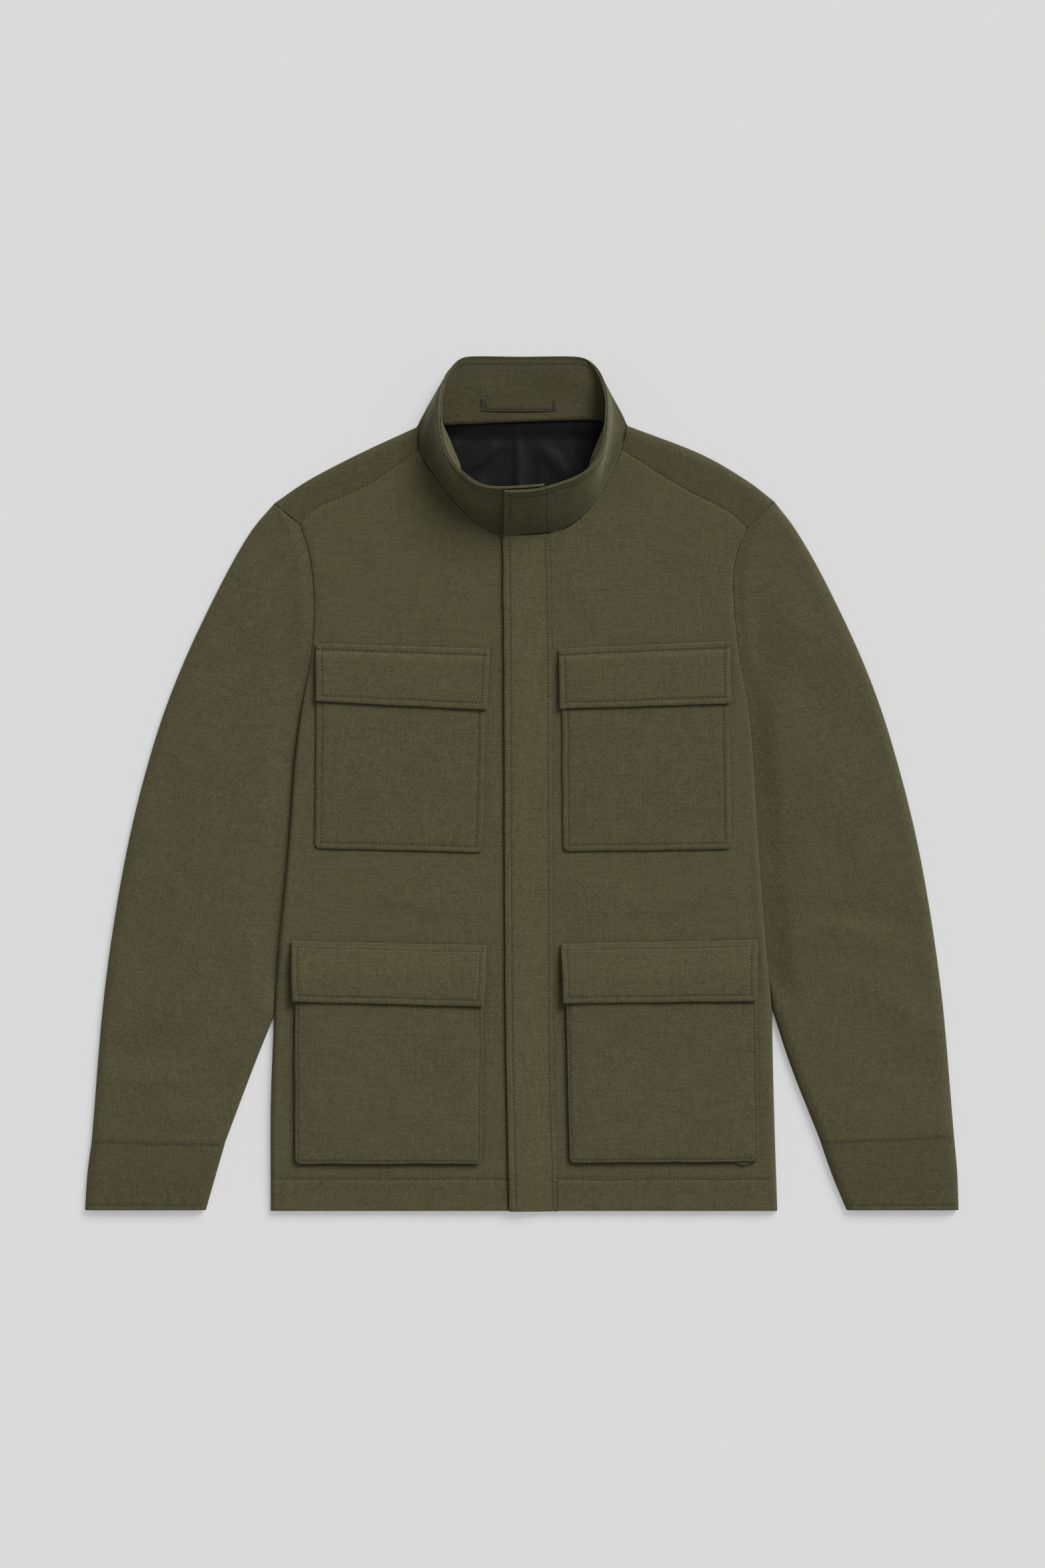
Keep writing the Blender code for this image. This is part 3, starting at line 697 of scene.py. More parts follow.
def middle_of(net):
    """A point inside a tube, half way up, for telling its outer face from its inner one."""
    points = [point for row in net for point in row]
    middle = sum(points, Vector((0, 0, 0))) / len(points)
    return lifted(middle, TOP / 2) * MM


# ---------------------------------------------------------------- the body


def make_back(material):
    """The back, flat underneath, carried over the shoulder folds to the forward seams."""
    edges, outline, seam = {}, {}, {}
    for side in SIDES:
        whole = body_edge(side)
        edges[side] = whole[:-1:BACK_EDGE_STEP] + whole[-1:]
        outline[side], seam[side] = shoulder_lines(side)
    base = {side: [a.lerp(b, FOLD_UNDER / (b - a).length) for a, b in zip(outline[side], seam[side])]
            for side in SIDES}
    head = base["right"] + nape_edge()[1:-1] + base["left"][::-1]
    hem_start, hem_end = edges["right"][-1], edges["left"][-1]
    foot = [hem_start.lerp(hem_end, share) for share in shares_of(head)]
    start = [*edges["right"][::-1], base["right"][0]]
    end = [*edges["left"][::-1], base["left"][0]]
    nets = [raised(coons(foot, head, start, end), lambda j, i, p: 0.0)]
    for side in SIDES:
        net = []
        for distance in FOLD_STEPS_UNDER:
            net.append([off(a, b, distance, fold_under(distance)) for a, b in zip(outline[side], seam[side])])
        for distance in FOLD_STEPS_OVER:
            net.append([shoulder_point(a, b, distance) for a, b in zip(outline[side], seam[side])])
        for share in YOKE_SHARES:
            row = []
            for a, b in zip(outline[side], seam[side]):
                row.append(shoulder_point(a, b, blend(FOLD_REACH, (b - a).length, share)))
            net.append(row)
        net.append([point - Vector((0, 0, SHOULDER_LIP)) for point in net[-1]])
        nets.append(net)
    return cloth("back", nets, SHELL_WALL, material, middle=(0, 0, 1), edge=0.4)


def off(start, end, distance, height):
    """A point at a distance from the start of a line, at a height."""
    return lifted(start.lerp(end, distance / (end - start).length), height)


def shoulder_point(start, end, distance):
    """A point on the cloth folded over the shoulder, easing down into the forward seam."""
    length = (end - start).length
    point = start.lerp(end, distance / length)
    height = fold_over(distance) + ease(distance / FOLD_REACH) * lay(point.x, point.y)
    return lifted(point, height + seam_dip(length - distance, 0.4, 1.1))


def make_front(side, material):
    """One front, filled in between its centre, hem, side and neck, its side edge turned down."""
    edge = body_edge(side)[::-1]
    neck = neck_front(side)
    seam = shoulder_lines(side)[1][::-1]
    head = neck + [point - Vector((0, SEAM_GAP)) for point in seam[1:]]
    edge[-1] = head[-1]
    top_y, edge_y = head[0].y, head[-1].y
    start = []
    for point in edge:
        y = point.y
        if y >= UNDERARM_Y:
            y = blend(UNDERARM_Y, top_y, (y - UNDERARM_Y) / (edge_y - UNDERARM_Y))
        start.append(Vector((centre_x(side, y), y)))
    start[-1] = head[0]
    inner = [index / (len(neck) - 1) * NECK_SHARE for index in range(len(neck))]
    outer = [blend(NECK_SHARE, 1.0, 1.0 - step) for step in SEAM_COLUMNS[::-1][1:]]
    foot = [start[0].lerp(edge[0], share) for share in inner + outer]
    net = coons(foot, head, start, edge)

    def height(j, i, point):
        away = (net[j][-1] - point).length
        up = (net[-1][i] - point).length
        z = front_height(point.y, away) + lay(point.x, point.y) * ease(away / 14.0)
        z += seam_dip(away, 0.5, 1.4) if point.y > 90 else 0.0
        if i >= len(neck) - 1:
            z += seam_dip(up, 0.4, 1.1)
        z += hem_shape(point.x, point.y)
        if side == "right":
            z -= UNDERLAP_SINK * ease((point.x + 15.0) / 12.0) * ease((NECK_Y - point.y) / 8.0)
        return z

    face = raised(net, height)
    for row in face:
        row.append(row[-1] - Vector((0, 0, SIDE_SKIRT)))
    face.append([point - Vector((0, 0, FRONT_LIP)) for point in face[-1]])
    return cloth("front_" + side, [face], SHELL_WALL, material, edge=0.2 if side == "right" else 0.05)


def hem_stitch_y(x):
    """The y of the hem's stitching, which wanders a little."""
    return HEM_STITCH_Y + 0.8 * waver(x / 60, 0.4, 0.2)


def hem_shape(x, y):
    """The turned hem: its stitching line, and a soft swelling below it."""
    line = hem_stitch_y(x)
    swell = 0.35 * ease((line - y) / 4.0) * (1.0 + waver(x / 9, 1.7, 0.6))
    pucker = max(0.0, waver(x / 5.5, 3.1, y / 30))
    return swell - 0.55 * hump(y - line, 1.3) - 0.25 * pucker * hump(y - line, 7.0)


def make_placket(material):
    """The fly strip, raised over the underlap, with its two rows of stitching sunk into it."""
    length = NECK_Y - PLACKET_FOOT_Y
    rows = [0.0, 0.6, 1.6, 3.0, *[4.8 + (length - 9.6) * index / 190 for index in range(191)],
            length - 3.0, length - 1.6, length - 0.6, length]
    net = []
    for down in rows:
        y = NECK_Y - down
        left, right = FREE_X(y), SEWN_X(y)
        left += 0.35 * waver(y / 23, 7.3, 0.1)
        across = fine_ends(16, right - left, FREE_EDGE_STEPS, SEWN_EDGE_STEPS)
        tilt = ease(1.0 - down / NECK_TILT_REACH)
        net.append([Vector((blend(left, right, share), y + tilt * blend(*NECK_TILT, share)))
                    for share in across])

    def height(j, i, point):
        left, right = net[j][0].x, net[j][-1].x
        into, out = point.x - left, right - point.x
        z = placket_height(point.x, point.y, right) + lay(point.x, point.y)
        z += seam_dip(into, 0.55, 1.0)
        z += seam_dip(rows[j], 0.5, 1.4) + seam_dip(rows[-1] - rows[j], 0.4, 1.2)
        pucker = 0.16 * waver(point.x / 9, point.y / 6.5, 4.2)
        z -= 0.42 * hump(into - PLACKET_STITCH, 1.0) + 0.16 * hump(out - SEWN_STITCH, 0.8)
        z += pucker * (hump(into - 3.0, 3.0) + 0.4 * hump(out - 2.0, 4.0))
        z += 0.55 * hump(rows[j] - 7.0, 3.0) * waver(point.x / 7, 2.2, 0.8)
        return z

    return cloth("placket", [raised(net, height)], PLACKET_CLOTH_WALL, material, edge=0.2)


def make_lining(material):
    """The part of the back lining that shows in the neck, with its soft folds."""
    net = []
    neck = Curve(NECK_BACK)
    for down in fine_ends(60, LINING_DEPTH, (1.0, 2.5)):
        row = []
        for across in even(90):
            top = neck.at(blend(*LINING_SPAN, across))
            top.y -= LINING_TUCK
            low = Vector((blend(-LINING_HALF_LOW, LINING_HALF_LOW, across), LINING_LOW_Y))
            row.append(top.lerp(low, down))
        net.append(row)

    def height(j, i, point):
        z = LINING_TOP
        z += min(max(creased(point.x, point.y, LINING_CREASES), -0.9), 1.1)
        z += LINING_RISE * ease((point.y - LINING_RISE_Y) / 16.0)
        return z + slack(point.x, point.y, 26.0, 0.22)

    return cloth("lining_back", [raised(net, height)], LINING_SHELL_WALL, material, edge=0.25)


# ---------------------------------------------------------------- the collar


class Line:
    """Points read by a share that each was given."""

    def __init__(self, points, shares):
        self.points, self.shares = points, shares

    def at(self, share):
        share = min(max(share, 0.0), 1.0)
        index = min(max(bisect.bisect_right(self.shares, share), 1), len(self.points) - 1)
        start, end = self.shares[index - 1], self.shares[index]
        return self.points[index - 1].lerp(self.points[index], (share - start) / (end - start))


def smooth_line(points, passes=2):
    """A line with its small corners eased, its ends left where they are."""
    for _ in range(passes):
        inner = [(a + 2 * b + c) / 4 for a, b, c in zip(points, points[1:], points[2:])]
        points = [points[0], *inner, points[-1]]
    return points


def moved_aside(points, distance, sign):
    """A plan line moved sideways by a distance."""
    moved = []
    for index, point in enumerate(points):
        run = (points[min(index + 1, len(points) - 1)] - points[max(index - 1, 0)]).normalized()
        moved.append(point + Vector((-run.y, run.x)) * distance * sign)
    return moved


def collar_front(side):
    """Foot and top points of the front part of the collar, from the centre to the side of the neck."""
    neck = neck_front(side) + neck_shoulder(side)[1:]
    shares = shares_of(neck)
    low = []
    for point, share in zip(moved_aside(neck, COLLAR_ASIDE, sign_of(side)), shares):
        push = sign_of(side) * CORNER_PUSH * ease((share - CORNER_START) / 0.16)
        fall = ease((share - COLLAR_FALL) / 0.2)
        height = blend(COLLAR_FOOT, FOLD_MID + COLLAR_FOLD_LIFT, fall)
        low.append(Vector((*(point + Vector((push, 0))), height)))
    first = 0
    if side == "right":
        first = next(index for index, share in enumerate(shares) if share > UNDERLAP_SHARE)
    high = Curve(COLLAR_TOP[side])
    start = shares[first]
    return low[first:], [high.at((share - start) / (1.0 - start)) for share in shares[first:]]


def collar_nape(side):
    """Foot and top points of the back part of the collar, from the side of the neck to the nape."""
    edge = nape_edge()
    half = len(edge) // 2
    line = edge[:half + 1] if side == "right" else edge[:half - 1:-1]
    feet = [Vector((p.x, p.y - NAPE_LAP, NAPE_FOOT)) for p in line[3:]]
    turn = Vector((line[0].x + sign_of(side) * NAPE_TURN[0], line[0].y + NAPE_TURN[1], NAPE_TURN[2]))
    feet = [turn, turn.lerp(feet[0], 0.5), *feet]
    high = Curve(COLLAR_NAPE_TOP[side])
    return feet, [high.at(share) for share in even(len(feet))[1:]]


def collar_lines():
    """Foot and top of the whole collar, from the overlapping end round the nape to the underlapping end."""
    left, right = collar_front("left"), collar_front("right")
    nape_left, nape_right = collar_nape("left"), collar_nape("right")
    over_feet = [(x, NECK_Y + y, COLLAR_FOOT + PLACKET_RISE) for x, y in OVERLAP_FOOT]
    over = [Curve(points).samples(even(10)) for points in (over_feet, OVERLAP_TOP)]
    under_feet = [(x, y, COLLAR_FOOT) for x, y in UNDERLAP_FOOT]
    under = [Curve(points).samples(even(8)) for points in (under_feet, UNDERLAP_TOP)]
    for index in range(4):
        left[0][index] += Vector((0, -0.9, PLACKET_RISE)) * (0.6 - 0.15 * index)
    lines = []
    for part in (0, 1):
        whole = over[part] + left[part] + nape_left[part] + nape_right[part][-2::-1] + right[part][::-1]
        lines.append(smooth_line(whole + under[part][::-1]))
    shares = shares_of([(a + b) / 2 for a, b in zip(*lines)])
    return Line(lines[0], shares), Line(lines[1], shares)


def collar_height(lines, along):
    """Length of the collar's section from its top edge to its foot."""
    return (lines[1].at(along) - lines[0].at(along)).length


def collar_point(lines, along, drop):
    """A point of the collar's middle surface at a distance below its top edge, and which way is outward."""
    def point(share, down):
        top, foot = lines[1].at(share), lines[0].at(share)
        return top.lerp(foot, down / (top - foot).length)

    step = 0.004
    run = point(min(along + step, 1.0), drop) - point(max(along - step, 0.0), drop)
    up = point(along, drop - 0.5) - point(along, drop + 0.5)
    return point(along, drop), run.cross(up).normalized()


def collar_slack(lines, along, drop):
    """Unevenness of the collar across its surface: soft waves along it, and the listed dents."""
    here = lines[1].at(along)
    place = Vector((here.x / 30.0 + drop / 60.0, here.y / 30.0, drop / 26.0 + 5.1))
    value = 0.4 * noise.noise(place) + 0.2 * noise.noise(place * 2.6)
    for x, y, down, half, reach, depth in COLLAR_DENTS:
        value += depth * hump(math.hypot(here.x - x, here.y - y), half) * hump(drop - down, reach)
    return value * ease(drop / 10.0)


def collar_stations(height):
    """Round the collar's section: the drop from its top edge and the offset from its middle surface."""
    half = COLLAR_SHELL_WALL / 2
    near = [ROLL_DEPTH + 0.4, ROLL_DEPTH + 1.4]
    near += [COLLAR_STITCH + step for step in (-1.6, -0.8, 0.0, 0.8, 1.6)]
    drops = near + [blend(COLLAR_STITCH + 1.6, height, (index + 1) / 14) for index in range(14)]
    outer = []
    for drop in drops[::-1]:
        waist = 0.35 * hump(drop - ROLL_DEPTH - 0.6, 1.4)
        outer.append((drop, half - waist - COLLAR_TROUGH * hump(drop - COLLAR_STITCH, 0.9)))
    roll = []
    for index in range(11):
        angle = math.radians(ROLL_START + ROLL_TURN * index / 10)
        roll.append((ROLL_SIZE * (1.0 - math.sin(angle)), ROLL_SIZE * (1.0 + ROLL_PLUMP * math.cos(angle))))
    faces = outer + roll
    return faces + [(drop, -offset) for drop, offset in faces[::-1]] + faces[:1]


def inner_fall(lines, along, drop):
    """How far the collar's inner layer falls in from the outer one at the sides of the neck."""
    here = lines[1].at(along)
    side = INNER_FALL["left" if here.x > 0 else "right"]
    reach = ease((345.0 - here.y) / 30.0) * ease((here.y - 264.0) / 44.0)
    return reach * (side * ease((drop - 1.5) / 13.0) + COLLAR_LEAN * min(drop, 30.0))


def roll_size(lines, along):
    """How even the roll is: a slow wander of its size."""
    here = lines[1].at(along)
    return 1.0 + 0.16 * waver(here.x / 17.0, here.y / 17.0, 3.3)


def make_collar(material):
    """The collar as one closed skin: its section carried along the neck, with a rolled top edge."""
    lines = collar_lines()
    net = []
    uprights = [lines[1].at(share).x for share in collar_uprights(lines)]
    places = [FRONT_SHARE * share for share in even(90)]
    places += [blend(FRONT_SHARE, 1.0, share) for share in even(COLLAR_STEPS_ALONG)[1:]]
    for along in places:
        plump = roll_size(lines, along)
        row = []
        for drop, offset in collar_stations(collar_height(lines, along)):
            here, normal = collar_point(lines, along, drop)
            ripple = 0.2 * hump(drop - COLLAR_STITCH, 5.0) * noise.noise(here / 4.5)
            if offset < 0:
                ripple -= inner_fall(lines, along, drop)
            elif along < FRONT_SHARE and drop > ROLL_DEPTH:
                ripple -= 0.4 * sum(hump(here.x - x, 0.8) for x in uprights)
            place = here + normal * (offset * (plump if drop < ROLL_DEPTH else 1.0)
                                     + ripple + collar_slack(lines, along, drop))
            place.z = max(place.z, FLOOR_GAP)
            row.append(place)
        net.append(row)
    mesh = net_mesh("collar", [net], plan=False)
    bm = bmesh.new()
    bm.from_mesh(mesh)
    bmesh.ops.holes_fill(bm, edges=[edge for edge in bm.edges if edge.is_boundary], sides=0)
    bmesh.ops.recalc_face_normals(bm, faces=bm.faces)
    bm.to_mesh(mesh)
    bm.free()
    return add_piece("collar_cloth", mesh, material, "collar")


def make_loop(material):
    """The hanger loop, bowed a little and held down near both ends."""
    left, right, low, high = LOOP
    net = []
    for up in fine_ends(12, high - low, (0.4, 1.0), (0.4, 1.0)):
        row = []
        for share in fine_ends(60, right - left, (0.5, 1.2), (0.5, 1.2)):
            bow = math.sin(math.pi * share)
            x = blend(left, right, share)
            y = blend(low, high, up) - LOOP_BOW * blend(0.3, 0.5, up) * bow
            ends = min(share, 1.0 - share) * (right - left)
            uneven = waver(x / 7, y / 7, 2.0)
            z = LOOP_Z + LOOP_BOW * 0.5 * bow - 0.35 * hump(ends - 3.5, 3.2) + 0.12 * uneven
            z -= 0.3 * hump(up * (high - low) - 2.4, 0.8) + 0.3 * hump((1.0 - up) * (high - low) - 2.4, 0.8)
            row.append(Vector((x, y, z)))
        net.append(row)
    return cloth("hanger_loop", [net], LOOP_WALL, material, edge=0.4)


# ---------------------------------------------------------------- the sleeves


def sleeve_inner(side):
    """Inner edge of a sleeve: along the armhole and the body, then away to the cuff, and where it closes."""
    tip = Vector(landmarks(SHOULDER_LINE, side)[0])
    seam = Vector(landmarks(SHOULDER_SEAM, side)[0])
    edge = [tip.lerp(seam, share) for share in (0.5, 0.62, 0.74, 0.87)]
    edge += outline_of(ARMHOLE, side).samples(even(ARMHOLE_STEPS))
    underarm = len(edge) - 1
    edge += outline_of(BODY_SIDE, side).samples(even(62)[1:])
    edge += outline_of(SLEEVE_INNER, side).samples(even(34)[1:])
    shift = Vector((sign_of(side) * SLEEVE_ASIDE, 0))
    return [point + shift for point in edge], underarm


UNDER_SHARES = (1.0, 0.985, 0.95, 0.7, 0.35, 0.12, 0.06, 0.035, 0.02, 0.01, 0.004)
OVER_SHARES = [0.25 * step + 0.75 * (0.5 - 0.5 * math.cos(math.pi * step)) for step in even(72)]


def sleeve_foot(y):
    """Height of the sleeve's upper layer at its inner edge, lower towards the underarm."""
    share = ease((VALLEY_TOP_Y - y) / (VALLEY_TOP_Y - UNDERARM_Y))
    return blend(TOP - ARMHOLE_DIP, FOLD_MID + 0.1, share)


def tube_row(outer, inner, top, closed, foot, extra, valley=0.0, lip=0.0):
    """One ring of a sleeve or cuff: its underside from the inner edge, round the outer fold, over the top."""
    width = (inner - outer).length
    row = []
    for step in UNDER_SHARES:
        height = FOLD_MID * (1.0 - rounded(step * width / FOLD_UNDER))
        if closed:
            height = max(height, fold_under((1.0 - step) * width))
        point = outer.lerp(inner, step)
        row.append(lifted(point, height))
    low = FOLD_MID if closed else foot
    for step in OVER_SHARES:
        point = outer.lerp(inner, step)
        out, into = step * width, (1.0 - step) * width
        slope = ease(into / VALLEY_REACH) ** 1.2
        inside = low + (top - low) * blend(rounded(into / FOLD_REACH), slope, valley)
        height = FOLD_MID + (inside - FOLD_MID) * rounded(out / FOLD_REACH)
        height += extra(point, out, into) * ease(min(out, into + (0 if closed else 3)) / 13.0)
        row.append(lifted(point, height))
    row.append(row[-1] - Vector((0, 0, lip)))
    return row


def sleeve_relief(side):
    """What the upper layer of a sleeve adds to its even height."""
    def extra(point, out, into):
        z = creased(point.x, point.y, SLEEVE_CREASES) + slack(point.x + 400, point.y, 60.0, 0.7)
        z += slack(point.x, point.y, 19.0, 0.14)
        upper = ease((point.y - 60.0) / 90.0)
        z -= upper * (1.3 * hump(into, 5.5) - 0.5 * hump(into - 11.0, 6.0))
        if side == "left" and point.y < PARTING_Y:
            z -= 0.6 * hump(into - 5.0, 1.3)
        return z
    return extra


def make_sleeve(side, material):
    """A sleeve: open along the armhole, a closed tube below the underarm."""
    inner, underarm = sleeve_inner(side)
    outer = outline_of(SLEEVE_OUTER, side)
    extra = sleeve_relief(side)
    net = []
    for index, share in enumerate(shares_of(inner)):
        foot = sleeve_foot(inner[index].y)
        end = (inner[-1] - inner[index]).length
        y = inner[index].y
        valley = ease((VALLEY_START_Y - y) / 80.0) * ease((y - PARTING_Y - 8.0) / 30.0)
        lip = SLEEVE_LIP * ease((y - UNDERARM_Y) / 12.0)
        top = TOP + seam_dip(end, 0.15, 0.8)
        net.append(tube_row(outer.at(share), inner[index], top, index >= underarm, foot, extra, valley, lip))
    net.insert(0, [lifted(p, max(p.z - SLEEVE_LIP, 0.0)) for p in net[0]])
    return cloth("sleeve_" + side, [net], SHELL_WALL, material, middle=middle_of(net), plan=False, edge=0.4)


def make_cuff(side, material):
    """A cuff, sinking to its hem, with its seam and its row of stitching."""
    outer, inner = outline_of(CUFF_OUTER, side), outline_of(CUFF_INNER, side)
    length = inner.length
    net = []
    relief = sleeve_relief(side)
    for share in fine_ends(26, length, CUFF_TOP_STEPS, CUFF_HEM_STEPS):
        down, rest = share * length, (1.0 - share) * length
        gap = Vector((0, 0.1 * (1.0 - share)))
        top = TOP - CUFF_SINK * ease((share - 0.3) / 0.7)
        top += seam_dip(down, 0.15, 0.7) - 0.5 * hump(rest - CUFF_STITCH, 1.1)

        def extra(point, out, into):
            swell = 0.25 * ease((CUFF_STITCH + 1.0 - rest) / 2.0)
            pucker = 0.3 * hump(down - 1.5, 4.0) * waver(point.x / 4.5, 0.4, 0.1)
            pucker += 0.18 * hump(rest - CUFF_STITCH, 4.0) * waver(point.x / 5.0, 3.4, 0.1)
            return swell + pucker + 0.4 * relief(point, out, into) * (1.0 - share)

        net.append(tube_row(outer.at(share) - gap, inner.at(share) - gap, top, True, FOLD_MID, extra))
    return cloth("cuff_" + side, [net], CUFF_WALL, material, middle=middle_of(net), plan=False, edge=0.5)


# ---------------------------------------------------------------- the pockets


def patch_at(corners, across, down):
    """A plan point of a patch, its lower corners rounded and its edges wandering slightly."""
    top_left, top_right, low_left, low_right = (Vector(corner) for corner in corners)
    width, length = patch_size(corners)
    turn = POCKET_TURN if length > 100 else FLAP_TURN
    side = min(across, 1.0 - across)
    x, y = 1.0 - side * width / turn, 1.0 - (1.0 - down) * length / turn
    if x > 0 and y > 0:
        side = (1.0 - x * math.sqrt(1.0 - y * y / 2)) * turn / width
        down = 1.0 - (1.0 - y * math.sqrt(1.0 - x * x / 2)) * turn / length
        across = side if across < 0.5 else 1.0 - side
    point = top_left.lerp(low_left, down).lerp(top_right.lerp(low_right, down), across)
    wander = Vector((waver(point.y / 27.0, point.x / 90.0, 8.8),
                     waver(point.x / 27.0, point.y / 90.0, 2.8)))
    return point + 0.45 * wander


def patch_size(corners):
    """Width and length of a patch."""
    top_left, top_right, low_left, low_right = (Vector(corner) for corner in corners)
    return (top_right - top_left).length, (low_left - top_left).length


def make_patch(name, corners, wall, height, material, stitch, fold=None):
    """A flat patch of cloth: its plan between four corners, its height by point and edge distances."""
    width, length = patch_size(corners)
    side = [0.4, 1.0, 1.8, stitch - 1.2, stitch - 0.5, stitch, stitch + 0.5, stitch + 1.2, stitch + 2.4]
    side = sorted({round(step, 3) for step in side if step > 0.3})
    top = side
    if fold is not None:
        top = [*FLAP_TOP_STEPS, *[fold + step for step in (-0.6, 0, 0.6, 1.3, 2.4)]]
    columns = fine_ends(round(width / 2.6), width, side, side)
    rows = fine_ends(round(length / 2.6), length, top, side)
    net = []
    for down in rows:
        row = []
        for across in columns:
            point = patch_at(corners, across, down)
            edges = (across * width, (1 - across) * width, down * length, (1 - down) * length)
            row.append(lifted(point, height(point, edges)))
        net.append(row)
    return cloth(name, [net], wall, material, edge=min(0.5, wall * 0.36))


def below(flap, point):
    """How far a point is below the top edge of a flap."""
    left, right = Vector(flap[0]), Vector(flap[1])
    return left.lerp(right, (point.x - left.x) / (right.x - left.x)).y - point.y


def bellows(distance):
    """Height of the underside of a bellows pocket's face above the front."""
    share = min(max((distance - CHEST_STEP) / (BELLOWS_START - CHEST_STEP), 0.0), 1.0)
    return blend(BELLOWS_FOOT, BELLOWS_LIFT, share)


def sewn_relief(point, edges, stitch, free=False):
    """Edges turned in and stitched: a roll at the edge, a trough at the stitching, and small puckers."""
    near = min(edges)
    z = seam_dip(near, 0.5 if free else 0.75, 1.1)
    z -= 0.45 * hump(near - stitch, 0.95)
    z += 0.22 * hump(near - stitch * 0.45, stitch * 0.4)
    z += 0.3 * hump(near - stitch, 5.0) * waver(point.x / 6.5, point.y / 6.5, 9.1)
    return z


def make_chest(side, material, flap_material):
    """A flat chest pocket and the flap over it."""
    flap = CHEST_FLAP[side]
    base = TOP + LAY_GAP

    def pocket_height(point, edges):
        sides = (edges[0], edges[1], edges[3])
        z = base + PATCH_WALL + lay(point.x, point.y) + sewn_relief(point, sides, POCKET_STITCH)
        sag = max(0.0, slack(point.x, point.y + 90, 45.0, 0.7)) * ease(min(sides) / 20.0)
        sag *= ease((below(flap, point) - 60) / 20)
        return z + sag * 0.6

    def flap_height(point, edges):
        rise = ease((below(flap, point) - CHEST_STEP / 2) / CHEST_STEP)
        z = base + FLAP_WALL + (PATCH_WALL + LAY_GAP) * rise + lay(point.x, point.y)
        puff = (0.2 + slack(point.x, point.y - 70, 30.0, 0.35)) * ease(min(edges) / 9.0)
        return z + flap_relief(point, edges) + puff

    return [make_patch("chest_pocket_" + side, CHEST_POCKET[side], PATCH_SHELL_WALL, pocket_height, material,
                       POCKET_STITCH),
            make_patch("chest_flap_" + side, flap, FLAP_SHELL_WALL, flap_height, flap_material, FLAP_STITCH,
                       fold=FLAP_FOLD)]


def flap_relief(point, edges):
    """The flap's folded top, held down by its stitching, and its other three edges."""
    left, right, top, low = edges
    fold = 0.4 * ease((FLAP_FOLD + 0.5 - top) / 1.2) * rounded(top / 1.8) - 0.4 * (1.0 - rounded(top / 1.8))
    step = -0.5 * hump(top - FLAP_FOLD - 0.6, 0.9)
    return fold + step + sewn_relief(point, (left, right, low), FLAP_STITCH, free=True)


def make_lower(side, material, flap_material, gusset_material):
    """A bellows pocket: its face, the flap over it, and the folded gusset under its edges."""
    flap = LOWER_FLAP[side]

    def pocket_height(point, edges):
        sides = (edges[0], edges[1], edges[3])
        near = min(sides)
        z = TOP + bellows(below(flap, point)) + PATCH_WALL + lay(point.x, point.y)
        z += seam_dip(near, 0.5, 1.1) - 0.4 * hump(near - LOWER_STITCH, 0.8)
        z += 0.25 * hump(near - LOWER_STITCH, 6.0) * waver(point.x / 8.0, point.y / 8.0, 6.1)
        sag = slack(point.x, point.y + 50, 40.0, 0.55) * ease(near / 18.0)
        z -= EDGE_SINK * hump(near, 7.0)
        hollow = 0.6 + waver(point.x / 40, point.y / 40, 1.2)
        return z + sag - 0.4 * hump(near - 10.0, 6.0) * hollow

    def flap_height(point, edges):
        down = below(flap, point)
        z = TOP + LAY_GAP + FLAP_WALL + blend(0.2, bellows(down) + PATCH_WALL + 0.2, ease((down - 3.0) / 5.0))
        z += lay(point.x, point.y) + flap_relief(point, edges)
        return z + (0.35 + slack(point.x, point.y - 30, 34.0, 0.4)) * ease(min(edges) / 9.0)

    return [make_patch("lower_pocket_" + side, LOWER_POCKET[side], PATCH_SHELL_WALL, pocket_height, material,
                       LOWER_STITCH),
            make_patch("lower_flap_" + side, flap, FLAP_SHELL_WALL, flap_height, flap_material, FLAP_STITCH,
                       fold=FLAP_FOLD),
            make_gusset(side, gusset_material)]


def gusset_line(corners, inset):
    """The sides and bottom of a pocket at an inset from its edge, its two lower corners rounded."""
    top_left, top_right, low_left, low_right = (Vector(corner) for corner in corners)
    start = GUSSET_START / (top_left - low_left).length
    turn = max(GUSSET_TURN - inset, 1.2)
    points = []
    for index in range(9):
        angle = math.radians(90 * index / 8)
        points.append((turn - turn * math.cos(angle), turn - turn * math.sin(angle)))
    left = [low_left + Vector((inset + x, inset + y)) for x, y in points]
    right = [low_right + Vector((-inset - x, inset + y)) for x, y in points]
    first = top_left.lerp(low_left, start) + Vector((inset, 0))
    last = top_right.lerp(low_right, start) - Vector((inset, 0))
    down = [first.lerp(left[0], share) for share in even(46)[:-1]]
    along = [left[-1].lerp(right[-1], share) for share in even(52)[1:-1]]
    return down + left + along + right[::-1] + [right[0].lerp(last, share) for share in even(46)[1:]]


def make_gusset(side, material):
    """The folded sides and bottom of a bellows pocket: two layers meeting in an inner fold."""
    low = TOP + 0.3 + GUSSET_WALL / 2
    high = TOP + BELLOWS_LIFT - EDGE_SINK - 0.3 - GUSSET_WALL / 2
    net = []
    for index in range(15):
        angle = math.pi * (index / 14 - 0.5)
        inset = GUSSET_INSET + GUSSET_DEPTH * math.cos(angle)
        row = []
        for p in gusset_line(LOWER_POCKET[side], inset):
            if side == "left" and p.y < PEEK_Y:
                p.y -= PEEK_DROP * hump(p.x - PEEK_X, 9.0)
            wave = 0.45 * waver(p.x / 12.0, p.y / 12.0, index / 9.0) * math.cos(angle)
            z = blend(low, high, 0.5 - 0.5 * math.sin(angle)) + wave + lay(p.x, p.y)
            row.append(lifted(p, z))
        net.append(row)
    return cloth("lower_gusset_" + side, [net], GUSSET_WALL, material, centred=True, edge=0.25)


# ---------------------------------------------------------------- stitches


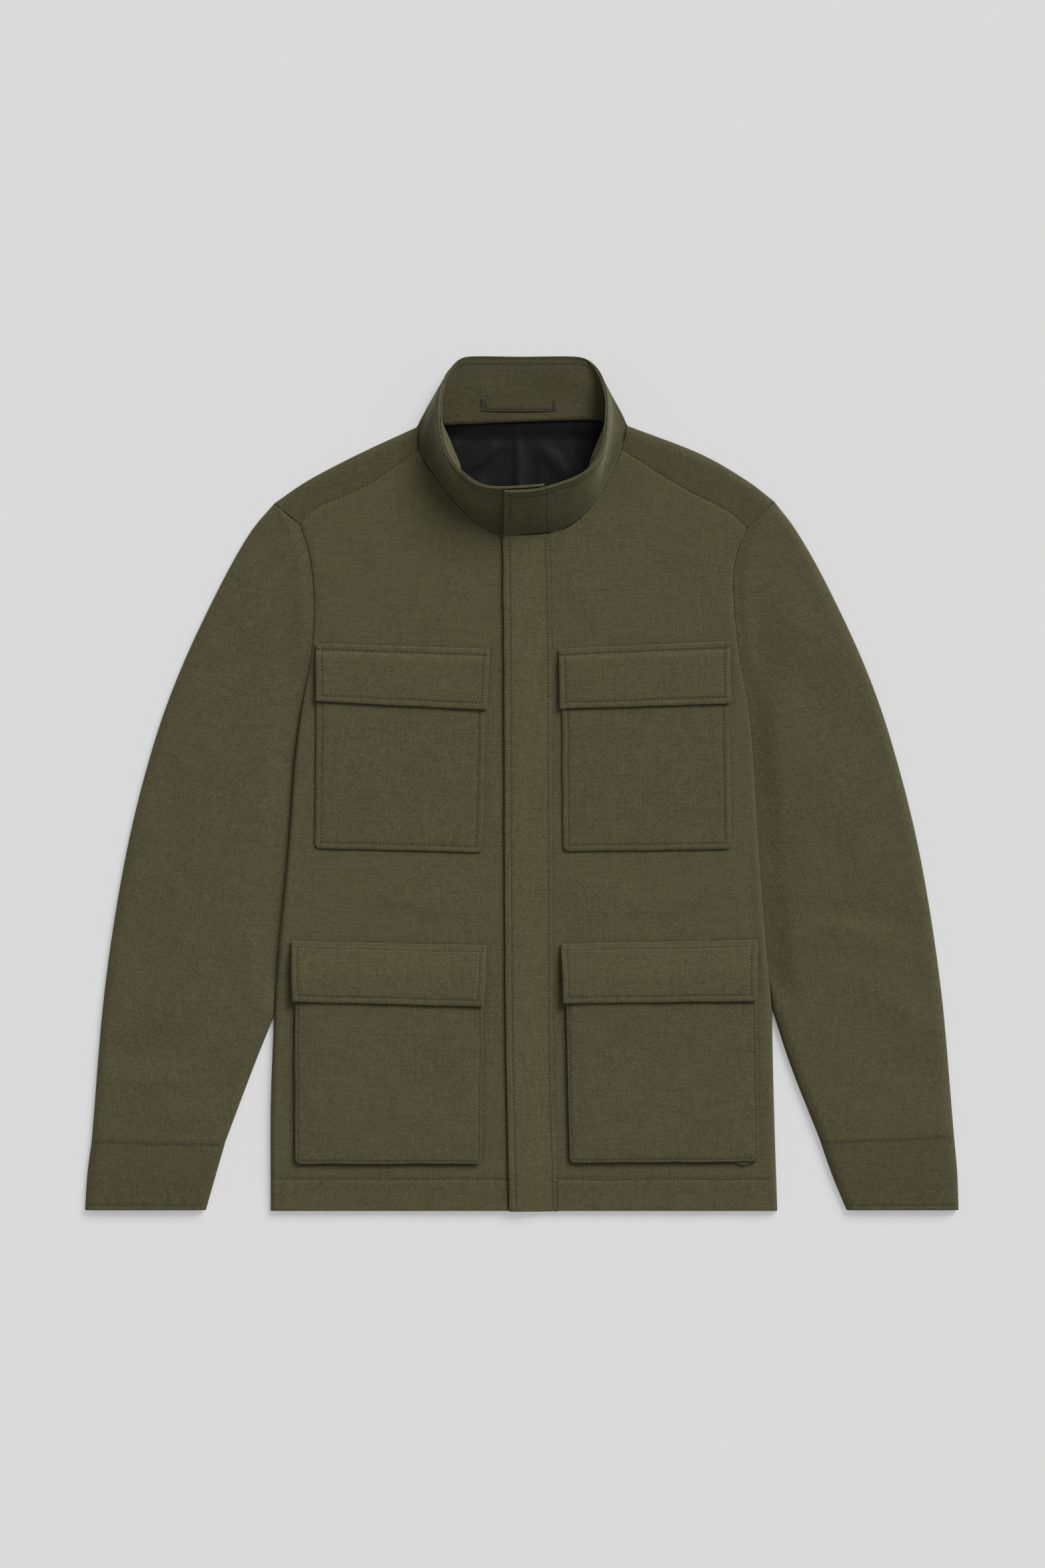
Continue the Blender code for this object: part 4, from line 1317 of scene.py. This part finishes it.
def surface_of(piece):
    """A piece's finished surface, its modifiers included, for laying stitches on."""
    return BVHTree.FromObject(piece, bpy.context.evaluated_depsgraph_get())


def spaced(line, pitch):
    """Points at even steps along a line, each with the way the line runs."""
    curve = Curve(line)
    count = max(int(curve.length / pitch), 1)
    points = []
    for index in range(count):
        share = (index + 0.5) / count
        run = (curve.at(share + 0.3 / count) - curve.at(share - 0.3 / count)).normalized()
        points.append((curve.at(share), run))
    return points


def stitches_down(piece, lines, pitch):
    """Stitches on plan lines, dropped onto a piece's upper surface."""
    tree = surface_of(piece)
    made = []
    for line in lines:
        for point, run in spaced([Vector((x, y)) for x, y in line], pitch):
            hit, normal, _, _ = tree.ray_cast(lifted(point, 90.0) * MM, Vector((0, 0, -1)))
            if hit is not None and normal.z > 0.3:
                made.append((hit / MM, Vector((run.x, run.y, 0.0)), normal))
    return made


def sew(name, stitches, material, sizes):
    """Joins stitches, each a point, a run and a normal, into one piece of thread."""
    bm = bmesh.new()
    for index, (point, run, normal) in enumerate(stitches):
        across = normal.cross(run).normalized()
        along = across.cross(normal).normalized()
        tilt = 0.06 * math.sin(index * 2.4)
        along = (along + across * tilt).normalized()
        across = normal.cross(along).normalized()
        length = sizes.length / MM * (1.0 + 0.1 * math.sin(index * 1.7))
        thick = sizes.thickness / MM
        turn = Matrix((along * length / 2, across * thick / 2, normal * thick * 0.42)).transposed().to_4x4()
        turn.translation = point + normal * thick * 0.28
        bmesh.ops.create_icosphere(bm, subdivisions=1, radius=1.0, matrix=Matrix.Scale(MM, 4) @ turn)
    return add_piece(name, finished_mesh(name, bm), material)


def patch_lines(corners, stitch, top=None):
    """Lines of stitching a distance inside a patch's edges."""
    width, length = patch_size(corners)
    near, far = stitch / width, 1.0 - stitch / width
    low = 1.0 - stitch / length
    high = 0.004 if top is None else top / length
    steps = even(24)
    lines = [[patch_at(corners, near, blend(high, low, step)).to_tuple() for step in steps],
             [patch_at(corners, far, blend(high, low, step)).to_tuple() for step in steps],
             [patch_at(corners, blend(near, far, step), low).to_tuple() for step in steps]]
    if top is not None:
        lines.append([patch_at(corners, blend(0.01, 0.99, step), high).to_tuple() for step in steps])
    return lines


def collar_stitches(lines, face, pitch):
    """The row of stitches under the collar's rolled edge, on its outer (1) or inner (-1) face."""
    length = sum((b - a).length for a, b in zip(lines[1].points, lines[1].points[1:]))
    first, last = COLLAR_SPAN
    count = int((last - first) * length / pitch)
    shares = [blend(first, last, (index + 0.5) / count) for index in range(count)]
    return [collar_stitch(lines, along, COLLAR_STITCH, face) for along in shares]


def collar_stitch(lines, along, drop, face, upward=False):
    """One stitch on the collar: its place, the way it runs and the way it faces."""
    here, normal = collar_point(lines, along, drop)
    ahead = (along, drop + 1.5) if upward else (min(along + 0.003, 1.0), drop)
    ahead, _ = collar_point(lines, *ahead)
    offset = (COLLAR_SHELL_WALL / 2 - COLLAR_TROUGH * 0.8) * face
    place = here + normal * (offset + collar_slack(lines, along, drop))
    return place, (ahead - here).normalized(), normal * face


def collar_uprights(lines):
    """Where the two upright rows of stitches on the collar's overlap carry on from the fly's."""
    found = []
    for goal in (FREE_X(220.0) + PLACKET_STITCH, SEWN_X(220.0) - SEWN_STITCH):
        found.append(min(even(400)[:80], key=lambda share: abs(lines[1].at(share).x - goal)))
    return found


def hem_line(side):
    """The row of stitches along a front's hem."""
    outer = -221 if side == "right" else 223
    steps = [blend(centre_x(side, HEM_STITCH_Y) + 1.5, outer, share) for share in even(50)]
    return [(x, hem_stitch_y(x)) for x in steps]


def cuff_lines(side):
    """The row of stitches above a cuff's edge, and the one at its seam."""
    outer, inner = outline_of(CUFF_OUTER, side), outline_of(CUFF_INNER, side)
    share = 1.0 - CUFF_STITCH / inner.length
    start, end = outer.at(share), inner.at(share)
    seam, seam_end = outer.at(0.9 / inner.length), inner.at(0.9 / inner.length)
    steps = (0.03, 0.3, 0.6, 0.965)
    return [[start.lerp(end, step).to_tuple() for step in steps],
            [seam.lerp(seam_end, step).to_tuple() for step in steps]]


def placket_lines():
    """The rows of stitches down the fly strip's free and sewn edges."""
    ys = [blend(NECK_Y - 2.0, PLACKET_FOOT_Y + 2.0, share) for share in even(80)]
    free = [(FREE_X(y) + PLACKET_STITCH, y) for y in ys]
    sewn = [(SEWN_X(y) - SEWN_STITCH, y) for y in ys]
    return [free, sewn]


def loop_lines():
    """The bars of stitches at the loop's ends, and the row along its lower edge."""
    left, right, low, high = LOOP
    middle = (low + high) / 2 - LOOP_BOW * 0.4
    bars = []
    for x in (left + 2.4, left + 4.2, right - 4.2, right - 2.4):
        bars.append([(x, low + 1.2), (x, middle), (x, high - 1.4)])
    edge = []
    for share in even(12):
        bow = LOOP_BOW * 0.3 * math.sin(math.pi * share)
        edge.append((blend(left + 3, right - 3, share), low + 2.2 - bow))
    return [*bars, edge]


# ---------------------------------------------------------------- materials


def node(tree, kind, **values):
    """A shader node of a kind, with some of its settings."""
    made = tree.nodes.new(kind)
    for name, value in values.items():
        setattr(made, name, value)
    return made


def noise_node(tree, vector, scale, detail, rough):
    """A noise texture's value."""
    made = node(tree, "ShaderNodeTexNoise")
    made.inputs["Scale"].default_value = scale
    made.inputs["Detail"].default_value = detail
    made.inputs["Roughness"].default_value = rough
    tree.links.new(vector, made.inputs["Vector"])
    return made.outputs["Fac"]


def stretched(tree, vector, scales):
    """Coordinates drawn out along their axes."""
    made = node(tree, "ShaderNodeMapping")
    made.inputs["Scale"].default_value = scales
    tree.links.new(vector, made.inputs["Vector"])
    return made.outputs["Vector"]


def ranged(tree, value, low, high, start, end):
    """A value between low and high, brought between start and end."""
    made = node(tree, "ShaderNodeMapRange")
    tree.links.new(value, made.inputs["Value"])
    for name, number in (("From Min", low), ("From Max", high), ("To Min", start), ("To Max", end)):
        made.inputs[name].default_value = number
    return made.outputs["Result"]


def maths(tree, operation, a, b):
    made = node(tree, "ShaderNodeMath", operation=operation)
    for socket, value in zip(made.inputs, (a, b)):
        if isinstance(value, (int, float)):
            socket.default_value = value
        else:
            tree.links.new(value, socket)
    return made.outputs[0]


def mixed(tree, factor, first, second):
    made = node(tree, "ShaderNodeMix", data_type="RGBA")
    for name, value in (("Factor", factor), ("A", first), ("B", second)):
        socket = next(socket for socket in made.inputs if socket.name == name and socket.enabled)
        if isinstance(value, tuple):
            socket.default_value = value
        else:
            tree.links.new(value, socket)
    return next(socket for socket in made.outputs if socket.enabled)


def shaded(name):
    """A new material, its node tree and its shader."""
    made = bpy.data.materials.new(name)
    made.use_nodes = True
    return made, made.node_tree, made.node_tree.nodes["Principled BSDF"]


def set_sockets(shader, values):
    """Sets a shader's own sockets."""
    for name, value in values.items():
        shader.inputs[name].default_value = value


def bumped(tree, shader, height, distance):
    """Roughens a shader's surface by a height."""
    bump = node(tree, "ShaderNodeBump")
    bump.inputs["Distance"].default_value = distance
    tree.links.new(height, bump.inputs["Height"])
    tree.links.new(bump.outputs["Normal"], shader.inputs["Normal"])


def tint(colour, scale):
    """A colour made lighter or darker."""
    return tuple(min(max(channel * scale, 0.0), 1.0) for channel in colour[:3]) + (1.0,)


def cotton(kind, settings, painted_low_shade=1.0):
    """Brushed cotton: blotches of brown and green, a fine grain, and threads both ways.

    The last argument is painted shade: the share of its colour that a piece keeps where it lies low, below 6
    mm, rising to its full colour by 30 mm.
    """
    made, tree, shader = shaded(kind + " cotton")
    tone = TONES[kind]
    where = node(tree, "ShaderNodeTexCoord").outputs["Object"]
    grain = node(tree, "ShaderNodeUVMap", uv_map="Grain").outputs["UV"]
    broad = noise_node(tree, where, 26.0, 4.0, 0.6)
    small = noise_node(tree, where, 130.0, 3.0, 0.6)
    fine = noise_node(tree, where, 560.0, 3.0, 0.8)
    warp = noise_node(tree, stretched(tree, grain, (520.0, 26.0, 1.0)), 1.0, 2.0, 0.6)
    weft = noise_node(tree, stretched(tree, grain, (26.0, 520.0, 1.0)), 1.0, 2.0, 0.6)
    patches = ranged(tree, broad, 0.34, 0.66, 0.2, 0.8)
    colour = mixed(tree, patches, tint(settings.brown, tone), tint(settings.green, tone))
    threads = maths(tree, "ADD", warp, weft)
    light = ranged(tree, threads, 0.75, 1.25, 1.0 - settings.thread, 1.0 + settings.thread)
    light = maths(tree, "MULTIPLY", light, ranged(tree, fine, 0.3, 0.7, 0.68, 1.32))
    light = maths(tree, "MULTIPLY", light, ranged(tree, small, 0.3, 0.7, 0.95, 1.05))
    # Painted shade: the colour is darkened where the piece lies low above the floor, down to the given share
    if painted_low_shade != 1.0:
        parts = node(tree, "ShaderNodeSeparateXYZ")
        tree.links.new(where, parts.inputs[0])
        light = maths(tree, "MULTIPLY", light, ranged(tree, parts.outputs["Z"], 0.006, 0.03, painted_low_shade, 1.0))
    scaled = node(tree, "ShaderNodeVectorMath", operation="SCALE")
    tree.links.new(colour, scaled.inputs[0])
    tree.links.new(light, scaled.inputs["Scale"])
    tree.links.new(scaled.outputs["Vector"], shader.inputs["Base Color"])
    height = maths(tree, "ADD", maths(tree, "MULTIPLY", threads, 0.5), maths(tree, "MULTIPLY", fine, 0.8))
    height = maths(tree, "ADD", height, maths(tree, "MULTIPLY", small, 1.6))
    bumped(tree, shader, height, settings.relief)
    set_sockets(shader, {"Roughness": 0.92, "Specular IOR Level": 0.12, "Sheen Weight": settings.sheen,
                         "Sheen Roughness": 0.45, "Sheen Tint": (*settings.nap, 1.0)})
    return made


def plain(name, colour, roughness, sheen=0.0, relief=0.0, size=900.0, gloss=0.2):
    """One even finish with a little unevenness of tone, for thread and lining."""
    made, tree, shader = shaded(name)
    where = node(tree, "ShaderNodeTexCoord").outputs["Object"]
    fine = noise_node(tree, where, size, 2.0, 0.6)
    tree.links.new(mixed(tree, fine, tint(colour, 0.86), tint(colour, 1.14)), shader.inputs["Base Color"])
    if relief:
        bumped(tree, shader, fine, relief)
    set_sockets(shader, {"Roughness": roughness, "Specular IOR Level": gloss, "Sheen Weight": sheen})
    return made


# ---------------------------------------------------------------- settings


class ClothSettings(bpy.types.PropertyGroup):
    brown: FloatVectorProperty(name="Brown", description="Warm tone of the cotton", subtype="COLOR",
                               default=(0.0330, 0.0300, 0.0159), min=0, max=1)
    green: FloatVectorProperty(name="Green", description="Green tone of the cotton", subtype="COLOR",
                               default=(0.0300, 0.0303, 0.0152), min=0, max=1)
    nap: FloatVectorProperty(name="Nap", description="Tint of the brushed surface at a low angle",
                             subtype="COLOR", default=(0.55, 0.64, 0.38), min=0, max=1)
    sheen: FloatProperty(name="Sheen", description="How much the nap catches the light",
                         default=0.13, min=0, max=1)
    thread: FloatProperty(name="Thread", description="How much the threads differ in tone",
                          default=0.08, min=0, max=1)
    relief: FloatProperty(name="Relief", description="Depth of the weave", subtype="DISTANCE",
                          default=0.00022, min=0)
    lining: FloatVectorProperty(name="Lining", description="Colour of the lining", subtype="COLOR",
                                default=(0.0020, 0.0018, 0.0019), min=0, max=1)


class StitchSettings(bpy.types.PropertyGroup):
    length: FloatProperty(name="Length", description="Length of one stitch", subtype="DISTANCE",
                          default=0.0022, min=0.0005)
    thickness: FloatProperty(name="Thickness", description="Thickness of the thread", subtype="DISTANCE",
                             default=0.00095, min=0.0001)
    pitch: FloatProperty(name="Pitch", description="Distance from stitch to stitch", subtype="DISTANCE",
                         default=0.003, min=0.001)
    colour: FloatVectorProperty(name="Thread", description="Colour of the thread", subtype="COLOR",
                                default=(0.011, 0.0098, 0.0055), min=0, max=1)


class StageSettings(bpy.types.PropertyGroup):
    floor: FloatProperty(name="Floor", description="Lightness of the floor", default=0.87, min=0, max=1)
    key: FloatProperty(name="Key light", description="Strength of the key light", default=7.15, min=0)
    softness: FloatProperty(name="Softness", description="Angle that the key light fills", subtype="ANGLE",
                            default=math.radians(32), min=0)
    height: FloatProperty(name="Height", description="Angle of the key light above the floor",
                          subtype="ANGLE", default=math.radians(36))
    turn: FloatProperty(name="Direction", description="Direction that the key light comes from, from +X",
                        subtype="ANGLE", default=math.radians(53))
    fill: FloatProperty(name="Fill", description="Strength of the light from all round", default=1.05, min=0)


# ---------------------------------------------------------------- operators


class JACKET_OT_body(bpy.types.Operator):
    """Make the back, the two fronts, the fly strip and the lining"""
    bl_idname = "jacket.body"
    bl_label = "Body"

    def execute(self, context):
        settings = context.scene.jacket_cloth
        body = cotton("Body", settings)
        back = make_back(cotton("Yoke", settings))
        for side in SIDES:
            make_front(side, body)
        make_placket(cotton("Fly", settings))
        lining = plain("Lining", settings.lining, 0.62, 0.0, 0.00006, 700.0, 0.12)
        make_lining(lining)
        return {"FINISHED"}


class JACKET_OT_collar(bpy.types.Operator):
    """Make the collar and the hanger loop inside it"""
    bl_idname = "jacket.collar"
    bl_label = "Collar"

    def execute(self, context):
        settings = context.scene.jacket_cloth
        make_collar(cotton("Collar", settings, COLLAR_PAINTED_LOW_SHADE))
        make_loop(cotton("Loop", settings))
        return {"FINISHED"}


class JACKET_OT_sleeves(bpy.types.Operator):
    """Make the two sleeves and their cuffs"""
    bl_idname = "jacket.sleeves"
    bl_label = "Sleeves"

    def execute(self, context):
        settings = context.scene.jacket_cloth
        sleeve, cuff = cotton("Sleeve", settings), cotton("Cuff", settings)
        for side in SIDES:
            make_sleeve(side, sleeve)
            make_cuff(side, cuff)
        return {"FINISHED"}


class JACKET_OT_pockets(bpy.types.Operator):
    """Make the chest and lower pockets, their flaps and the lower pockets' gussets"""
    bl_idname = "jacket.pockets"
    bl_label = "Pockets"

    def execute(self, context):
        settings = context.scene.jacket_cloth
        pocket, flap = cotton("Pocket", settings), cotton("Flap", settings)
        for side in SIDES:
            for piece in make_chest(side, pocket, flap) + make_lower(side, pocket, flap, pocket):
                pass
        return {"FINISHED"}


class JACKET_OT_stitching(bpy.types.Operator):
    """Sew the rows of stitches on the finished cloth"""
    bl_idname = "jacket.stitching"
    bl_label = "Stitching"

    def execute(self, context):
        sizes = context.scene.jacket_stitches
        thread = plain("Thread", sizes.colour, 0.7, 0.1)
        pitch = sizes.pitch / MM
        objects = bpy.data.objects
        for side in SIDES:
            groups = (
                (f"chest_pocket_{side}", patch_lines(CHEST_POCKET[side], POCKET_STITCH)),
                (f"chest_flap_{side}", patch_lines(CHEST_FLAP[side], FLAP_STITCH, FLAP_FOLD + 0.8)),
                (f"lower_pocket_{side}", patch_lines(LOWER_POCKET[side], LOWER_STITCH)),
                (f"lower_flap_{side}", patch_lines(LOWER_FLAP[side], FLAP_STITCH, FLAP_FOLD + 0.8)),
                (f"front_{side}", [hem_line(side)]),
                (f"cuff_{side}", cuff_lines(side)),
            )
            for name, lines in groups:
                made = stitches_down(objects[name + "_cloth"], lines, pitch)
                sew(name + "_stitches", made, thread, sizes)
        made = stitches_down(objects["placket_cloth"], placket_lines(), pitch)
        sew("placket_stitches", made, thread, sizes)
        lines = collar_lines()
        made = collar_stitches(lines, 1, pitch) + collar_stitches(lines, -1, pitch)
        for along in collar_uprights(lines):
            for drop in [COLLAR_STITCH + 2.0 + pitch * index for index in range(11)]:
                if drop < collar_height(lines, along) - 1.5:
                    made.append(collar_stitch(lines, along, drop, 1, upward=True))
        sew("collar_stitches", made, thread, sizes)
        made = stitches_down(objects["hanger_loop_cloth"], loop_lines(), LOOP_PITCH)
        sew("loop_stitches", made, thread, sizes)
        return {"FINISHED"}


class JACKET_OT_stage(bpy.types.Operator):
    """Make the floor, the lights and the camera straight above"""
    bl_idname = "jacket.stage"
    bl_label = "Stage"

    def execute(self, context):
        settings = context.scene.jacket_stage
        bm = bmesh.new()
        below_cloth = Matrix.Translation((0, 0, FLOOR_Z))
        bmesh.ops.create_grid(bm, x_segments=1, y_segments=1, size=FLOOR_SIZE, matrix=below_cloth)
        mesh = finished_mesh("Floor", bm)
        made, _, shader = shaded("Floor")
        colour = (settings.floor, settings.floor, settings.floor, 1.0)
        set_sockets(shader, {"Base Color": colour, "Roughness": 0.9, "Specular IOR Level": 0.1})
        mesh.materials.append(made)
        floor = bpy.data.objects.new("Floor", mesh)
        key_data = bpy.data.lights.new("Key light", "SUN")
        key_data.energy = settings.key
        key_data.angle = settings.softness
        key = bpy.data.objects.new("Key light", key_data)
        way = Vector((math.cos(settings.turn) * math.cos(settings.height),
                      math.sin(settings.turn) * math.cos(settings.height), math.sin(settings.height)))
        key.rotation_euler = way.to_track_quat("Z", "Y").to_euler()
        world = bpy.data.worlds.new("Studio")
        world.use_nodes = True
        background = world.node_tree.nodes["Background"]
        background.inputs["Color"].default_value = (1.0, 1.0, 1.0, 1.0)
        background.inputs["Strength"].default_value = settings.fill
        context.scene.world = world
        camera_data = bpy.data.cameras.new("Camera")
        camera_data.sensor_fit = "VERTICAL"
        camera_data.sensor_height = SENSOR
        camera_data.lens = SENSOR * CAMERA_HEIGHT / (VIEW_HEIGHT * MM)
        camera_data.clip_end = VIEW_REACH
        camera = bpy.data.objects.new("Camera", camera_data)
        camera.location = (*(Vector(VIEW_CENTRE) * MM), CAMERA_HEIGHT)
        for item in (floor, key, camera):
            context.scene.collection.objects.link(item)
        context.scene.camera = camera
        return {"FINISHED"}


class JACKET_PT_panel(bpy.types.Panel):
    """Settings and steps of the jacket"""
    bl_idname = "JACKET_PT_panel"
    bl_label = "Field jacket"
    bl_space_type = "VIEW_3D"
    bl_region_type = "UI"
    bl_category = "Jacket"

    def draw(self, context):
        for settings in SETTINGS:
            group = getattr(context.scene, settings)
            box = self.layout.box()
            for name in group.__annotations__:
                box.prop(group, name)
        for operator in OPERATORS:
            self.layout.operator(operator.bl_idname)


SETTINGS = {"jacket_cloth": ClothSettings, "jacket_stitches": StitchSettings, "jacket_stage": StageSettings}
OPERATORS = (JACKET_OT_body, JACKET_OT_collar, JACKET_OT_sleeves, JACKET_OT_pockets, JACKET_OT_stitching,
             JACKET_OT_stage)
CLASSES = (*SETTINGS.values(), *OPERATORS, JACKET_PT_panel)


def register():
    for item in CLASSES:
        bpy.utils.register_class(item)
    for name, group in SETTINGS.items():
        setattr(bpy.types.Scene, name, PointerProperty(type=group))


def unregister():
    for name in SETTINGS:
        delattr(bpy.types.Scene, name)
    for item in reversed(CLASSES):
        bpy.utils.unregister_class(item)


def main():
    register()
    bpy.ops.jacket.body()
    bpy.ops.jacket.collar()
    bpy.ops.jacket.sleeves()
    bpy.ops.jacket.pockets()
    bpy.ops.jacket.stitching()
    bpy.ops.jacket.stage()


if __name__ == "__main__":
    main()
